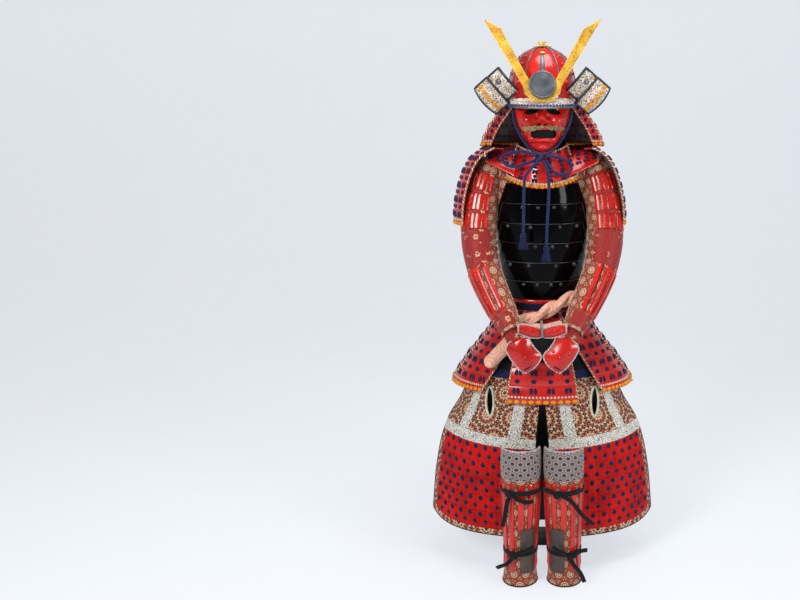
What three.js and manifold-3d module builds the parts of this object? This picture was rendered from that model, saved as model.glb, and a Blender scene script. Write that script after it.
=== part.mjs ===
// Samurai armour, full suit, standing on its plain wooden stand and chest.
// Millimetres, +Z up. The suit faces -Y. "left" and "right" are as seen from the front.
import * as THREE from "three";
import { mergeVertices } from "three/addons/utils/BufferGeometryUtils.js";
import Module from "manifold-3d";

const wasm = await Module();
wasm.setup();

// Driving sizes
const SEAM = 0.3; // gap between two pieces that touch
const CLOTH = 2.5; // brocade with its lining
const LACQUER = 2.4; // lacquered iron or hide plate
const CHEST = {
  width: 360,
  depth: 340,
  front: -110,
  underside: 124,
  lidFoot: 452,
  height: 560,
  board: 12,
  rim: 6,
};
const POST = { side: 44, y: 20, foot: 200, footHigh: 18, top: 1500 };
const SHOULDER_BAR = { half: 112, high: 26, top: 1318 };
const MASK_PEG = { tip: -133, z: 1361 };
const WAIST_BOARD = { foot: 636, high: 18, ring: 16 };
const CORD = 9.5; // diameter of the braided chin cord

// Small tools
const rad = THREE.MathUtils.degToRad;
const lerp = THREE.MathUtils.lerp;
const vec = (x, y, z) => new THREE.Vector3(x, y, z);
const steps = (count, from = 0, to = 1) =>
  Array.from({ length: count + 1 }, (_, i) => lerp(from, to, i / count));

// Reads every column of a table at one value of its first column, on a smooth curve through the rows.
function read(table, value) {
  const [key, ...columns] = Object.keys(table[0]);
  const rising = table.at(-1)[key] > table[0][key];
  const rows = rising ? table : [...table].reverse();
  const last = rows.length - 1;
  let i = rows.findIndex((row) => row[key] > value) - 1;
  if (value >= rows[last][key]) i = last - 1;
  i = Math.min(Math.max(i, 0), last - 1);
  const [a, b] = [rows[i], rows[i + 1]];
  const span = b[key] - a[key];
  const t = Math.min(Math.max((value - a[key]) / span, 0), 1);
  const slope = (j, c) => {
    const [p, q] = [rows[Math.max(j - 1, 0)], rows[Math.min(j + 1, last)]];
    return (q[c] - p[c]) / (q[key] - p[key]);
  };
  const found = {};
  for (const c of columns)
    found[c] =
      (2 * t ** 3 - 3 * t ** 2 + 1) * a[c] +
      (t ** 3 - 2 * t ** 2 + t) * span * slope(i, c) +
      (3 * t ** 2 - 2 * t ** 3) * b[c] +
      (t ** 3 - t ** 2) * span * slope(i + 1, c);
  return found;
}

// A point on an upright oval. The angle is 0 at the front and 90 degrees at the right.
const oval = (a, b, angle, y = 0) => [a * Math.sin(angle), y - b * Math.cos(angle)];

// The direction that points out of a surface whose u runs to the viewer's right and v runs down.
function outOf(at, u, v) {
  const e = 1e-3;
  const alongU = at(u + e, v).sub(at(u - e, v));
  const alongV = at(u, v + e).sub(at(u, v - e));
  return alongV.cross(alongU).normalize();
}

// The same surface, moved out by a distance.
const movedOut = (at, distance) => (u, v) => at(u, v).addScaledVector(outOf(at, u, v), distance);

// A closed wall on a surface: outer points that may be raised, over a plain inside of fewer rows.
function wall({ at, across, down, thick, raise = () => 0, closed = false, inside = down.length - 1 }) {
  const [columns, rows] = [across.length, down.length];
  const even = Array.isArray(inside) ? [] : steps(inside).map((t) => Math.round(t * (rows - 1)));
  const kept = Array.isArray(inside) ? inside : [...new Set(even)];
  const points = [];
  for (const v of down)
    for (const u of across) points.push(at(u, v).addScaledVector(outOf(at, u, v), raise(u, v)));
  for (const j of kept)
    for (const u of across) points.push(at(u, down[j]).addScaledVector(outOf(at, u, down[j]), -thick));
  const faces = [];
  const quad = (a, b, c, d) => faces.push(a, b, c, a, c, d);
  const O = (i, j) => j * columns + (i % columns);
  const I = (i, k) => (rows + k) * columns + (i % columns);
  const spans = closed ? columns : columns - 1;
  for (let i = 0; i < spans; i++) {
    for (let j = 0; j < rows - 1; j++) quad(O(i, j), O(i, j + 1), O(i + 1, j + 1), O(i + 1, j));
    for (let k = 0; k < kept.length - 1; k++) quad(I(i, k), I(i + 1, k), I(i + 1, k + 1), I(i, k + 1));
    quad(O(i, 0), O(i + 1, 0), I(i + 1, 0), I(i, 0));
    quad(O(i + 1, rows - 1), O(i, rows - 1), I(i, kept.length - 1), I(i + 1, kept.length - 1));
  }
  const side = (i, flip) => {
    const face = (a, b, c) => (flip ? faces.push(a, c, b) : faces.push(a, b, c));
    for (let k = 0; k < kept.length - 1; k++) {
      for (let j = kept[k]; j < kept[k + 1]; j++) face(I(i, k), O(i, j + 1), O(i, j));
      face(I(i, k), I(i, k + 1), O(i, kept[k + 1]));
    }
  };
  if (!closed) {
    side(0, false);
    side(columns - 1, true);
  }
  const geometry = new THREE.BufferGeometry().setFromPoints(points);
  geometry.setIndex(faces);
  return facingOut(geometry);
}

// Turns a closed mesh whose faces point inwards.
function facingOut(geometry) {
  const p = geometry.getAttribute("position");
  const index = geometry.index.array;
  const [a, b, c] = [vec(), vec(), vec()];
  let volume = 0;
  for (let i = 0; i < index.length; i += 3) {
    a.fromBufferAttribute(p, index[i]);
    b.fromBufferAttribute(p, index[i + 1]);
    c.fromBufferAttribute(p, index[i + 2]);
    volume += a.dot(b.cross(c));
  }
  if (volume < 0)
    for (let i = 0; i < index.length; i += 3) [index[i], index[i + 1]] = [index[i + 1], index[i]];
  return geometry;
}

function toSolid(geometry) {
  const bare = new THREE.BufferGeometry();
  bare.setAttribute("position", geometry.getAttribute("position").clone());
  if (geometry.index) bare.setIndex(geometry.index.clone());
  const merged = mergeVertices(bare, 1e-3);
  const points = merged.attributes.position.array;
  const mesh = new wasm.Mesh({ numProp: 3, vertProperties: points, triVerts: merged.index.array });
  return new wasm.Manifold(mesh);
}

function toGeometry(solid) {
  const mesh = solid.getMesh();
  const geometry = new THREE.BufferGeometry();
  geometry.setAttribute("position", new THREE.BufferAttribute(mesh.vertProperties, mesh.numProp));
  geometry.setIndex(new THREE.BufferAttribute(mesh.triVerts, 1));
  return geometry;
}

const joined = (...parts) => toGeometry(parts.map(toSolid).reduce((sum, part) => sum.add(part)));
const cut = (part, ...tools) =>
  toGeometry(tools.map(toSolid).reduce((rest, tool) => rest.subtract(tool), toSolid(part)));

function box(x0, x1, y0, y1, z0, z1) {
  const block = new THREE.BoxGeometry(x1 - x0, y1 - y0, z1 - z0);
  return block.translate((x0 + x1) / 2, (y0 + y1) / 2, (z0 + z1) / 2);
}

// A round or flat strip along a smooth path through points.
function strip(points, section, count) {
  const path = new THREE.CatmullRomCurve3(points, false, "centripetal");
  return new THREE.ExtrudeGeometry(section, { steps: count, extrudePath: path, bevelEnabled: false });
}
function circle(radius, sides) {
  const turns = steps(sides, 0, 2 * Math.PI).slice(0, -1);
  return new THREE.Shape(turns.map((t) => new THREE.Vector2(radius * Math.cos(t), radius * Math.sin(t))));
}

// A flat plate from an outline of [x, z] points, standing upright with its back at y.
function upright(outline, y, thick) {
  const shape = new THREE.Shape(outline.map(([x, z]) => new THREE.Vector2(x, z)));
  const plate = new THREE.ExtrudeGeometry(shape, { depth: thick, bevelEnabled: false });
  return plate.rotateX(Math.PI / 2).translate(0, y, 0);
}

// Rows of lames: each lower lame lies over the foot of the one above, so its top stands proud.
function lames(count, proud, from = 0, to = 1) {
  const edge = 0.004;
  const size = (to - from) / count;
  const down = [];
  for (let i = 0; i < count; i++) {
    down.push(from + i * size + (i ? edge : 0));
    down.push(from + (i + 1) * size - (i < count - 1 ? edge : 0));
  }
  const raise = (u, v) => {
    const t = Math.min(Math.max((v - from) / size, 0), count - 1e-6);
    return proud * (1 - (t - Math.floor(t)));
  };
  return { down, raise };
}

// Finishes
const finish = (color, roughness, metalness = 0) =>
  new THREE.MeshStandardMaterial({ color, roughness, metalness });
const RED = finish(0xc4201f, 0.25);
const BLACK = finish(0x0b0b0d, 0.12);
const MAROON = finish(0x2a0c10, 0.35);
const GOLD = finish(0xd9a63c, 0.3, 1);
const STEEL = finish(0x6d6f72, 0.4, 0.8);
const NAVY = finish(0x232c56, 0.8);
const BROCADE = finish(0x9a4a38, 0.7);
const PALE = finish(0xd9d3bf, 0.75);
const PINK = finish(0xe0a493, 0.7);
const KIKKO = finish(0x8c8194, 0.8);
const TIE = finish(0x16181d, 0.85);
const WOOD = finish(0x8a5a34, 0.6);
const BLACK_CHEST = finish(0x14171c, 0.4);

const armour = new THREE.Group();
function add(name, geometry, material, parent = armour) {
  const mesh = new THREE.Mesh(geometry, material);
  mesh.name = name;
  parent.add(mesh);
  return mesh;
}
// Adds a right-hand piece and its mirror image.
function addPair(name, make, material) {
  add(`${name}_right`, make(), material);
  add(`${name}_left`, mirrored(make()), material);
}
function mirrored(geometry) {
  const left = geometry.clone().scale(-1, 1, 1);
  const flipped = left.index ? left : mergeVertices(left);
  const index = flipped.index.array;
  for (let i = 0; i < index.length; i += 3) [index[i], index[i + 1]] = [index[i + 1], index[i]];
  return flipped;
}

// Outside shapes of the suit, from the top down: a is the half width and b the half depth of the oval
const TORSO = [
  { z: 1300, a: 104, b: 108 },
  { z: 1240, a: 128, b: 118 },
  { z: 1170, a: 143.6, b: 126 },
  { z: 1100, a: 146.6, b: 129 },
  { z: 1000, a: 139, b: 125 },
  { z: 930, a: 129, b: 118 },
  { z: 872, a: 122, b: 112 },
  { z: 836, a: 121, b: 111 },
];
const SKIRT = [
  { z: 836, a: 122, b: 112 },
  { z: 739, a: 192, b: 166 },
  { z: 663, a: 252, b: 194 },
  { z: 559, a: 318, b: 214 },
];
const THIGH = [
  { z: 660, a: 226, b: 172 },
  { z: 582, a: 268, b: 190 },
  { z: 521, a: 292, b: 200 },
  { z: 430, a: 338, b: 212 },
  { z: 312, a: 372, b: 218 },
  { z: 115, a: 392, b: 222 },
];
const onOval = (table, z, angle) => {
  const { a, b } = read(table, z);
  return vec(...oval(a, b, angle), z);
};

// Chest and stand
function buildStand() {
  const { width, depth, front, underside, lidFoot, height, board, rim } = CHEST;
  const half = width / 2;
  const back = front + depth;
  const body = box(-half, half, front, back, underside, lidFoot);
  const room = box(-half + board, half - board, front + board, back - board, underside + board, lidFoot + 10);
  const runner = (x0, x1) => box(x0, x1, front + 20, back - 20, 0, underside + 2);
  const crossBoard = box(-60, 60, -50, 70, 0, 10);
  const chest = joined(body, runner(-104, -26), runner(26, 104), crossBoard);
  add("chest_body", cut(chest, room), BLACK_CHEST);
  const lid = box(-half - rim, half + rim, front - rim, back + rim, lidFoot + SEAM, height);
  const lidRoom = box(-half + board, half - board, front + board, back - board, lidFoot - 10, height - board);
  add("chest_lid", cut(lid, lidRoom), BLACK_CHEST);

  const p = POST.side / 2;
  const f = POST.foot / 2;
  const { foot: ringFoot, high, ring } = WAIST_BOARD;
  const hoop = wall({
    at: (u, v) => {
      const { a, b } = read(THIGH, ringFoot + high);
      return vec(...oval(a - CLOTH - 1, b - CLOTH - 1, u * 2 * Math.PI), ringFoot + high * (1 - v));
    },
    across: steps(28).slice(0, -1),
    down: [0, 1],
    thick: ring,
    closed: true,
  });
  const { half: reach, high: deep, top } = SHOULDER_BAR;
  const head = new THREE.LatheGeometry(HEAD_BLOCK.map(({ r, z }) => new THREE.Vector2(r, z)), 14);
  head.rotateX(Math.PI / 2).scale(1, BOWL.b / BOWL.a, 1);
  const stand = joined(
    box(-p, p, POST.y - p, POST.y + p, height + SEAM, POST.top),
    box(-reach, reach, POST.y - p, POST.y, top - deep, top),
    box(-11, 11, MASK_PEG.tip, POST.y, MASK_PEG.z - 11, MASK_PEG.z + 11),
    head,
    box(-f, f, POST.y - f, POST.y + f, height + SEAM, height + POST.footHigh),
    hoop,
    box(-210, 210, POST.y - 14, POST.y + 14, ringFoot, ringFoot + high),
    box(-14, 14, -158, 158, ringFoot, ringFoot + high),
  );
  add("stand_post", stand, WOOD);
}

// Helmet bowl: a ridged dome. share is the part of the foot's size left at a height.
const BOWL = { a: 106, b: 118, foot: 1488, top: 1648, ridges: 12, ridge: 2.4 };
const bowlShare = (z) => (1 - Math.max((z - BOWL.foot) / (BOWL.top - BOWL.foot), 0) ** 2.5) ** (1 / 2.1);

// The wooden block inside the bowl, which meets it near its widest place
const HEAD_BLOCK = [
  { r: 0, z: 1490 },
  { r: 52, z: 1490 },
  { r: 76, z: 1520 },
  { r: BOWL.a * bowlShare(1576) * 0.99 - 2.6, z: 1576 },
  { r: 64, z: 1606 },
  { r: 26, z: 1628 },
  { r: 0, z: 1632 },
];

// Neck guard of four lames, from the bowl down. from is where its front edge lies, in degrees.
const NECK_GUARD = [
  { z: 1490, a: 111.4, b: 123.4, from: 70 },
  { z: 1452, a: 138, b: 144, from: 75 },
  { z: 1400, a: 172, b: 168, from: 80 },
  { z: 1350, a: 194, b: 184, from: 84 },
];

// Turned-back ears, as two tiers with their corners for the right side
const EAR_TIERS = [
  { middle: vec(124, -89.2, 1531), wide: 54, long: 88 },
  { middle: vec(158.2, -74.5, 1497.3), wide: 61.5, long: 100 },
];
const EAR_ALONG = vec(-0.66, 0, -0.75).normalize();
const EAR_ACROSS = vec(0.72, 0.36, -0.58).normalize();

function earTier({ middle, wide, long }) {
  const out = EAR_ACROSS.clone().cross(EAR_ALONG).normalize();
  if (out.y > 0) out.negate();
  const at = (u, v) => {
    const s = 2 * v - 1;
    return middle.clone()
      .addScaledVector(EAR_ALONG, (long / 2) * s)
      .addScaledVector(EAR_ACROSS, wide * (u - 0.5) * (1 - 0.12 * s * s))
      .addScaledVector(out, -14 * s * s);
  };
  return wall({ at, across: [0, 0.5, 1], down: steps(8), thick: 2.5 });
}

// Finial: its radius at heights above the bowl's top, with a stem that goes down into the bowl
const FINIAL = [
  { r: 0, up: -8 },
  { r: 18, up: -8 },
  { r: 18, up: 0 },
  { r: 29, up: 0 },
  { r: 26, up: 6 },
  { r: 15, up: 8 },
  { r: 17, up: 14 },
  { r: 9, up: 19 },
  { r: 0, up: 19 },
];

function buildHelmet() {
  const heights = [0, 0.3, 0.55, 0.76, 0.9, 0.985];
  const dome = (u, v) => {
    const z = lerp(BOWL.foot, BOWL.top, Math.min(1 - v, 0.9999));
    const s = bowlShare(z);
    return vec(...oval(BOWL.a * s, BOWL.b * s, u * 2 * Math.PI), z);
  };
  const shell = wall({
    at: dome,
    across: steps(BOWL.ridges * 2).slice(0, -1),
    inside: 3,
    down: heights.map((h) => 1 - h).reverse(),
    thick: LACQUER,
    closed: true,
    raise: (u) => (Math.round(u * BOWL.ridges * 2) % 2 ? 0 : BOWL.ridge),
  });
  add("helmet_bowl", shell, RED);

  const z = BOWL.top + 0.25;
  const finial = new THREE.LatheGeometry(FINIAL.map(({ r, up }) => new THREE.Vector2(r, z + up)), 12);
  add("helmet_finial", finial.rotateX(Math.PI / 2), GOLD);

  const visor = (u, v) => {
    const angle = rad(lerp(-64, 64, u));
    const a = lerp(BOWL.a + 4.9, 114, v);
    const b = lerp(BOWL.b + 4.9, 170, v);
    return vec(...oval(a, b, angle), 1491 - 22 * v - 8 * v * Math.cos(angle) ** 2);
  };
  add("helmet_visor", wall({ at: visor, across: steps(16), down: [0, 0.5, 1], thick: 2 }), PALE);

  const neck = (u, v) => {
    const z = lerp(1490, 1350, v);
    const { a, b, from } = read(NECK_GUARD, z);
    return vec(...oval(a, b, rad(lerp(from, 360 - from, u))), z);
  };
  const { down, raise } = lames(4, 3.5);
  add("neck_guard", wall({ at: neck, across: steps(16), down, thick: 2, raise, inside: 2 }), MAROON);
  EAR_TIERS.forEach((tier, i) => addPair(`helmet_ear_${i + 1}`, () => earTier(tier), PALE));
}

// Crest: a gold holder, two gold blades and a plain disc
const CREST = { y: -147.3, foot: 1476, lean: 0.1, thick: 3 };
// Outlines as x and z: the holder is a crescent, and a blade widens up to its slanting tip
const HOLDER = [
  [-52, 1536], [-57, 1520], [-50, 1500], [-28, 1482], [0, 1476], [28, 1482], [50, 1500],
  [57, 1520], [52, 1536], [38, 1522], [20, 1505], [0, 1498], [-20, 1505], [-38, 1522],
];
const HORN = [
  [20, 1508], [33, 1500], [51, 1514], [102, 1600], [175, 1719], [141, 1700], [122, 1690],
  [74, 1603], [30, 1527],
];
function buildCrest() {
  const { y, foot, lean, thick } = CREST;
  const leaned = (geometry) => {
    geometry.translate(0, -y, -foot).rotateX(-lean);
    return geometry.translate(0, y, foot);
  };
  add("crest_holder", leaned(upright(HOLDER, y, thick)), GOLD);
  addPair("crest_horn", () => leaned(upright(HORN, y - thick - SEAM, thick)), GOLD);
  const disc = new THREE.CylinderGeometry(41, 41, 5, 24).translate(0, y - 2 * thick - 2 * SEAM - 2.5, 1528);
  add("crest_disc", leaned(disc), STEEL);
}

// Face mask: half is the half width, deep the reach forward of the jaw line
const MASK = { y: -62, thick: 3 };
const FACE = [
  { z: 1466, half: 84, deep: 58 },
  { z: 1440, half: 86, deep: 70 },
  { z: 1412, half: 80, deep: 78 },
  { z: 1385, half: 66, deep: 82 },
  { z: 1358, half: 50, deep: 80 },
  { z: 1338, half: 34, deep: 70 },
];
const faceAt = (u, v) => {
  const z = lerp(1466, 1338, v);
  const { half, deep } = read(FACE, z);
  const angle = rad(lerp(-88, 88, u));
  const front = Math.cos(angle);
  return vec(half * Math.sin(angle), MASK.y - deep * front ** 0.85, z - 8 * v * front ** 2);
};
const bump = (x, z, cx, cz, wx, wz) => Math.exp(-(((x - cx) / wx) ** 2) - ((z - cz) / wz) ** 2);
function faceRelief(u, v) {
  const { x: across, z } = faceAt(u, v);
  const x = Math.abs(across);
  const bridge = bump(x, z, 0, 1446, 9, 26) * 14;
  const tip = bump(x, z, 0, 1419, 12, 13) * 22;
  const wings = bump(x, z, 14, 1414, 8, 9) * 11;
  const cheeks = bump(x, z, 44, 1424, 20, 20) * 8;
  const crease = bump(x, z, 36, 1398, 5, 18) * -2;
  const upperLip = bump(x, z, 0, 1401, 34, 5) * 4;
  const lowerLip = bump(x, z, 0, 1371, 28, 6) * 7;
  const chin = bump(x, z, 0, 1346, 22, 14) * 9;
  return Math.max(bridge + tip + wings + cheeks + crease + upperLip + lowerLip + chin, -1);
}
function buildMask() {
  const shell = wall({
    at: faceAt,
    across: steps(20),
    down: steps(15),
    thick: MASK.thick,
    raise: faceRelief,
    inside: 4,
  });
  const mouth = new THREE.CylinderGeometry(1, 1, 90, 14).scale(35, 1, 11.5).translate(0, -130, 1386);
  add("face_mask", cut(shell, mouth), RED);

  // Throat guard of four laced lames
  const { down, raise } = lames(4, 3);
  const at = (u, v) => {
    const angle = rad(lerp(-72, 72, u));
    const front = Math.cos(angle) ** 2;
    const [top, foot] = [lerp(1352, 1329, front), lerp(1252, 1226, front)];
    return vec(...oval(lerp(80, 119, v), lerp(127, 160, v), angle), lerp(top, foot, v));
  };
  add("throat_guard", wall({ at, across: steps(14), down, thick: 2.5, raise, inside: 2 }), RED);
}

// Chin cord: two sides down the jaw, a knot, two loops and two hanging ends with tassels
const KNOT = vec(-4, -166, 1318);
// Places on the jaw as u and v of the mask's surface, then the loops as x and z, and the ends as x, y and z
const JAW = [[0.93, 0.1], [0.9, 0.32], [0.88, 0.55], [0.84, 0.8], [0.75, 0.93]];
const LOOPS = {
  left: [
    [-19, 1322], [-50, 1334], [-86, 1331], [-113, 1324], [-124, 1311], [-112, 1295], [-86, 1289], [-55, 1297],
    [-20, 1310],
  ],
  right: [
    [11, 1322], [40, 1319], [70, 1308], [86, 1296], [88, 1282], [76, 1268], [54, 1265], [32, 1277],
    [11, 1308],
  ],
};
const ENDS = {
  left: [
    [-11.4, -171.3, 1307], [-30, -181, 1290], [-50, -186, 1262], [-55, -186, 1220], [-56, -184, 1160],
    [-58, -182, 1092],
  ],
  right: [
    [2, -172.5, 1305.5], [13, -181, 1286], [19, -186, 1250], [19, -186, 1200], [15, -184, 1130],
    [12, -182, 1052],
  ],
};
const TASSEL = [[0, -50], [16, -50], [14, -34], [10, -14], [10, -8], [8, 0], [0, 0]];

// A point of a loop: straight in front of the knot, and elsewhere just clear of the throat guard
function onGuard([x, z]) {
  if (Math.abs(x) < 21) return vec(x, -171, z);
  const reach = lerp(140, 166, (1330 - z) / 100) + 9;
  return vec(x, -4 - reach * Math.sqrt(Math.max(1 - (x / 150) ** 2, 0.1)), z);
}

function buildCords() {
  const tube = (points, count) => strip(points, circle(CORD / 2, 8), count);
  const along = movedOut(faceAt, CORD / 2 + 1.8);
  const jaw = [...JAW.map(([u, v]) => along(u, v)), vec(14, -156, 1325), vec(0, -163, 1319)];
  const side = (way) => tube(jaw.map((p) => vec(p.x * way, p.y, p.z)), 9);
  const knot = new THREE.SphereGeometry(12, 10, 7).scale(1.1, 0.8, 1).translate(KNOT.x, KNOT.y, KNOT.z);
  add("chin_cord", joined(side(-1), side(1), knot), NAVY);
  add("cord_loop_left", tube(LOOPS.left.map(onGuard), 16), NAVY);
  add("cord_loop_right", tube(LOOPS.right.map(onGuard), 14), NAVY);
  for (const [way, points] of Object.entries(ENDS)) {
    add(`cord_end_${way}`, tube(points.map((p) => vec(...p)), 9), NAVY);
    const [x, y, z] = points.at(-1);
    const tassel = new THREE.LatheGeometry(TASSEL.map(([r, h]) => new THREE.Vector2(r, h)), 12);
    add(`tassel_${way}`, tassel.rotateX(Math.PI / 2).translate(x, y, z - SEAM), NAVY);
  }
}

// Cuirass: a front and a back shell of overlapping lames, shoulder straps, waist lacing
const TORSO_FOOT = 872;
function shellTop(angle, isBack) {
  const { width, fall } = isBack ? { width: 50, fall: 0.32 } : { width: 60, fall: 0.155 };
  const aside = Math.abs(Math.sin(angle)) / Math.sin(rad(width));
  const drop = Math.min(Math.max((aside - 1) / fall, 0), 1);
  return lerp(isBack ? 1280 : 1236, 1112, drop ** 0.7);
}
function shell(from, to, isBack) {
  const at = (u, v) => {
    const angle = rad(lerp(from, to, u));
    const top = shellTop(angle, isBack);
    return onOval(TORSO, lerp(top, TORSO_FOOT, v), angle);
  };
  const { down, raise } = lames(6, 2.4);
  return wall({ at, across: steps(16), down, thick: LACQUER, raise, inside: 3 });
}
// Shoulder strap from front to back, over the bar
const STRAP = [
  { v: 0, y: -104, z: 1236.8 },
  { v: 0.2, y: -88, z: 1281 },
  { v: 0.38, y: -50, z: 1309 },
  { v: 0.55, y: -4, z: 1318.4 },
  { v: 0.75, y: 40, z: 1317 },
  { v: 1, y: 86, z: 1288 },
];
function buildCuirass() {
  add("cuirass_front", shell(-88.6, 88.6, false), BLACK);
  add("cuirass_back", shell(91.4, 268.6, true), BLACK);
  const strap = (u, v) => {
    const { y, z } = read(STRAP, v);
    return vec(lerp(34, 71, u), y, z);
  };
  const padded = () => wall({ at: strap, across: steps(2), down: steps(10, 1, 0), thick: 4 });
  addPair("shoulder_strap", padded, RED);
  const band = (z0, z1, out) => wall({
    at: (u, v) => {
      const { a, b } = read(TORSO, 850);
      return vec(...oval(a + out, b + out, u * 2 * Math.PI), lerp(z0, z1, v));
    },
    across: steps(24).slice(0, -1),
    down: [0, 1],
    thick: 3,
    closed: true,
  });
  add("waist_lacing", joined(band(TORSO_FOOT - SEAM, 858, 2), band(858.5, 836, 0)), NAVY);
}

// Sash: a padded roll round the waist, low at the front left, with one end hanging
const SASH = { radius: 22.5 };
const SASH_TURN = [
  { turn: -180, z: 868 },
  { turn: -120, z: 846 },
  { turn: -70, z: 822 },
  { turn: -40, z: 813 },
  { turn: -22, z: 813 },
  { turn: -4, z: 829 },
  { turn: 14, z: 855 },
  { turn: 38, z: 881 },
  { turn: 75, z: 903 },
  { turn: 120, z: 900 },
  { turn: 180, z: 868 },
];
const beneath = (z) => (z > 836 ? read(TORSO, z) : read(SKIRT, z));
function buildSash() {
  const turns = steps(24, -180, 180).slice(0, -1);
  const points = turns.map((turn) => {
    const { z } = read(SASH_TURN, turn);
    const { a, b } = beneath(z - 17);
    const out = SASH.radius + 3.8;
    return vec(...oval(a + out, b + out, rad(turn)), z);
  });
  const path = new THREE.CatmullRomCurve3(points, true, "centripetal");
  add("sash", closedRing(path, SASH.radius, 32, 8), PINK);
  const end = [vec(-76, -162.9, 772.7), vec(-102, -172, 749), vec(-134, -178, 718), vec(-164, -180, 688)];
  const ball = (p) => new THREE.SphereGeometry(SASH.radius - 0.4, 10, 8).translate(p.x, p.y, p.z);
  add("sash_end", joined(strip(end, circle(SASH.radius, 10), 5), ball(end[0]), ball(end.at(-1))), PINK);
}
// A round roll that closes on itself
function closedRing(path, radius, around, sides) {
  const frames = path.computeFrenetFrames(around, true);
  const at = (i, j) => {
    const p = path.getPointAt(i / around);
    const turn = (2 * Math.PI * j) / sides;
    return p.addScaledVector(frames.normals[i], radius * Math.cos(turn))
      .addScaledVector(frames.binormals[i], radius * Math.sin(turn));
  };
  const points = [];
  for (let i = 0; i < around; i++) {
    for (let j = 0; j < sides; j++) points.push(at(i, j));
  }
  const faces = [];
  const P = (i, j) => (i % around) * sides + (j % sides);
  for (let i = 0; i < around; i++) {
    for (let j = 0; j < sides; j++) {
      faces.push(P(i, j), P(i + 1, j), P(i + 1, j + 1));
      faces.push(P(i, j), P(i + 1, j + 1), P(i, j + 1));
    }
  }
  const geometry = new THREE.BufferGeometry().setFromPoints(points);
  geometry.setIndex(faces);
  return facingOut(geometry);
}

// Shoulder guards: a laced panel arched over the shoulder. turn swings it about the upright.
const ARCH = [
  { v: 0, x: 138, z: 1342 },
  { v: 0.12, x: 170, z: 1341 },
  { v: 0.28, x: 212, z: 1312 },
  { v: 0.45, x: 238, z: 1268 },
  { v: 0.64, x: 256, z: 1212 },
  { v: 0.82, x: 266, z: 1158 },
  { v: 1, x: 268, z: 1104 },
];
const ARCH_PIVOT = { x: 225, y: -6 };
function shoulderGuard(turn, shift) {
  const { down, raise } = lames(6, 3, 0.1, 1);
  const at = (u, v) => {
    const { x, z } = read(ARCH, v);
    const swing = rad(turn);
    const [dx, dy] = [x - ARCH_PIVOT.x, lerp(-82, 82, u)];
    const swungX = ARCH_PIVOT.x + dx * Math.cos(swing) - dy * Math.sin(swing);
    const swungY = ARCH_PIVOT.y + dx * Math.sin(swing) + dy * Math.cos(swing);
    return vec(swungX + shift - 0.0034 * dy * dy, swungY, z);
  };
  return wall({
    at,
    across: steps(5),
    down: [0, ...down],
    thick: 2.5,
    inside: 4,
    raise: (u, v) => (v < 0.1 ? 0 : raise(u, v)),
  });
}

function buildShoulderGuards() {
  add("shoulder_guard_right", shoulderGuard(12, -6.2), RED);
  add("shoulder_guard_left", mirrored(shoulderGuard(-8, 14.6)), RED);
}

// Armoured sleeves: a brocade tube with three tiers of splints, an elbow, and long splints below
const SLEEVE = [
  { t: 0, x: 154, y: -4, z: 1298, r: 44 },
  { t: 0.12, x: 178, y: -18, z: 1240, r: 50 },
  { t: 0.3, x: 195, y: -42, z: 1150, r: 53 },
  { t: 0.48, x: 199, y: -68, z: 1062, r: 55 },
  { t: 0.63, x: 185, y: -103, z: 983, r: 52 },
  { t: 0.74, x: 162, y: -138, z: 928, r: 49 },
  { t: 0.84, x: 134, y: -176, z: 876, r: 45 },
  { t: 0.94, x: 108, y: -213, z: 830, r: 39 },
  { t: 1, x: 91, y: -240, z: 799, r: 31 },
];
const sleeveMiddle = (t) => {
  const { x, y, z } = read(SLEEVE, t);
  return vec(x, y, z);
};
// A place on a sleeve: u runs round it from the front over the outside, and v down it
const sleeveAt = (u, v) => {
  const t = Math.min(Math.max(v, 0), 1);
  const before = sleeveMiddle(Math.max(t - 0.01, 0));
  const after = sleeveMiddle(Math.min(t + 0.01, 1));
  const way = after.sub(before).normalize();
  const side = way.clone().cross(vec(0, 1, 0)).normalize();
  const front = side.clone().cross(way).normalize();
  if (front.y > 0) front.negate();
  const turn = 2 * Math.PI * u;
  const { r } = read(SLEEVE, t);
  return sleeveMiddle(t)
    .addScaledVector(front, r * Math.cos(turn))
    .addScaledVector(side, r * Math.sin(turn));
};
function buildSleeves() {
  const edge = 0.006;
  const down = [0, UPPER_TIERS[0][0] - edge];
  for (const [from, to] of UPPER_TIERS) down.push(from, to, to + edge);
  const [first, last] = LONG_SPLINT;
  down.push(0.52, 0.6, first - edge, first, 0.75, 0.83, last, last + edge, 1);
  const within = (v, [from, to]) => v >= from && v <= to;
  const raise = (u, v) => {
    const place = Math.round(u * SPLINT_PLACES) % SPLINT_PLACES;
    if (UPPER_SPLINTS.includes(place) && UPPER_TIERS.some((tier) => within(v, tier))) return 3.5;
    return LONG_SPLINTS.includes(place) && within(v, LONG_SPLINT) ? 4.5 : 0;
  };
  const across = steps(SPLINT_PLACES).slice(0, -1);
  const tube = () => wall({ at: sleeveAt, across, down, thick: CLOTH, closed: true, raise, inside: 9 });
  addPair("sleeve", tube, BROCADE);
  addPair("hand_plate", handPlate, RED);
  addPair("thumb_plate", thumbPlate, RED);
}
// Splints of the sleeve: their places of 20 round it, from the front over the outside, and their runs
const SPLINT_PLACES = 20;
const UPPER_SPLINTS = [19, 0, 2, 3, 5, 6];
const LONG_SPLINTS = [0, 1, 3, 4, 6, 7];
const UPPER_TIERS = [[0.1, 0.2], [0.22, 0.32], [0.34, 0.44]];
const LONG_SPLINT = [0.66, 0.91];

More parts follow.
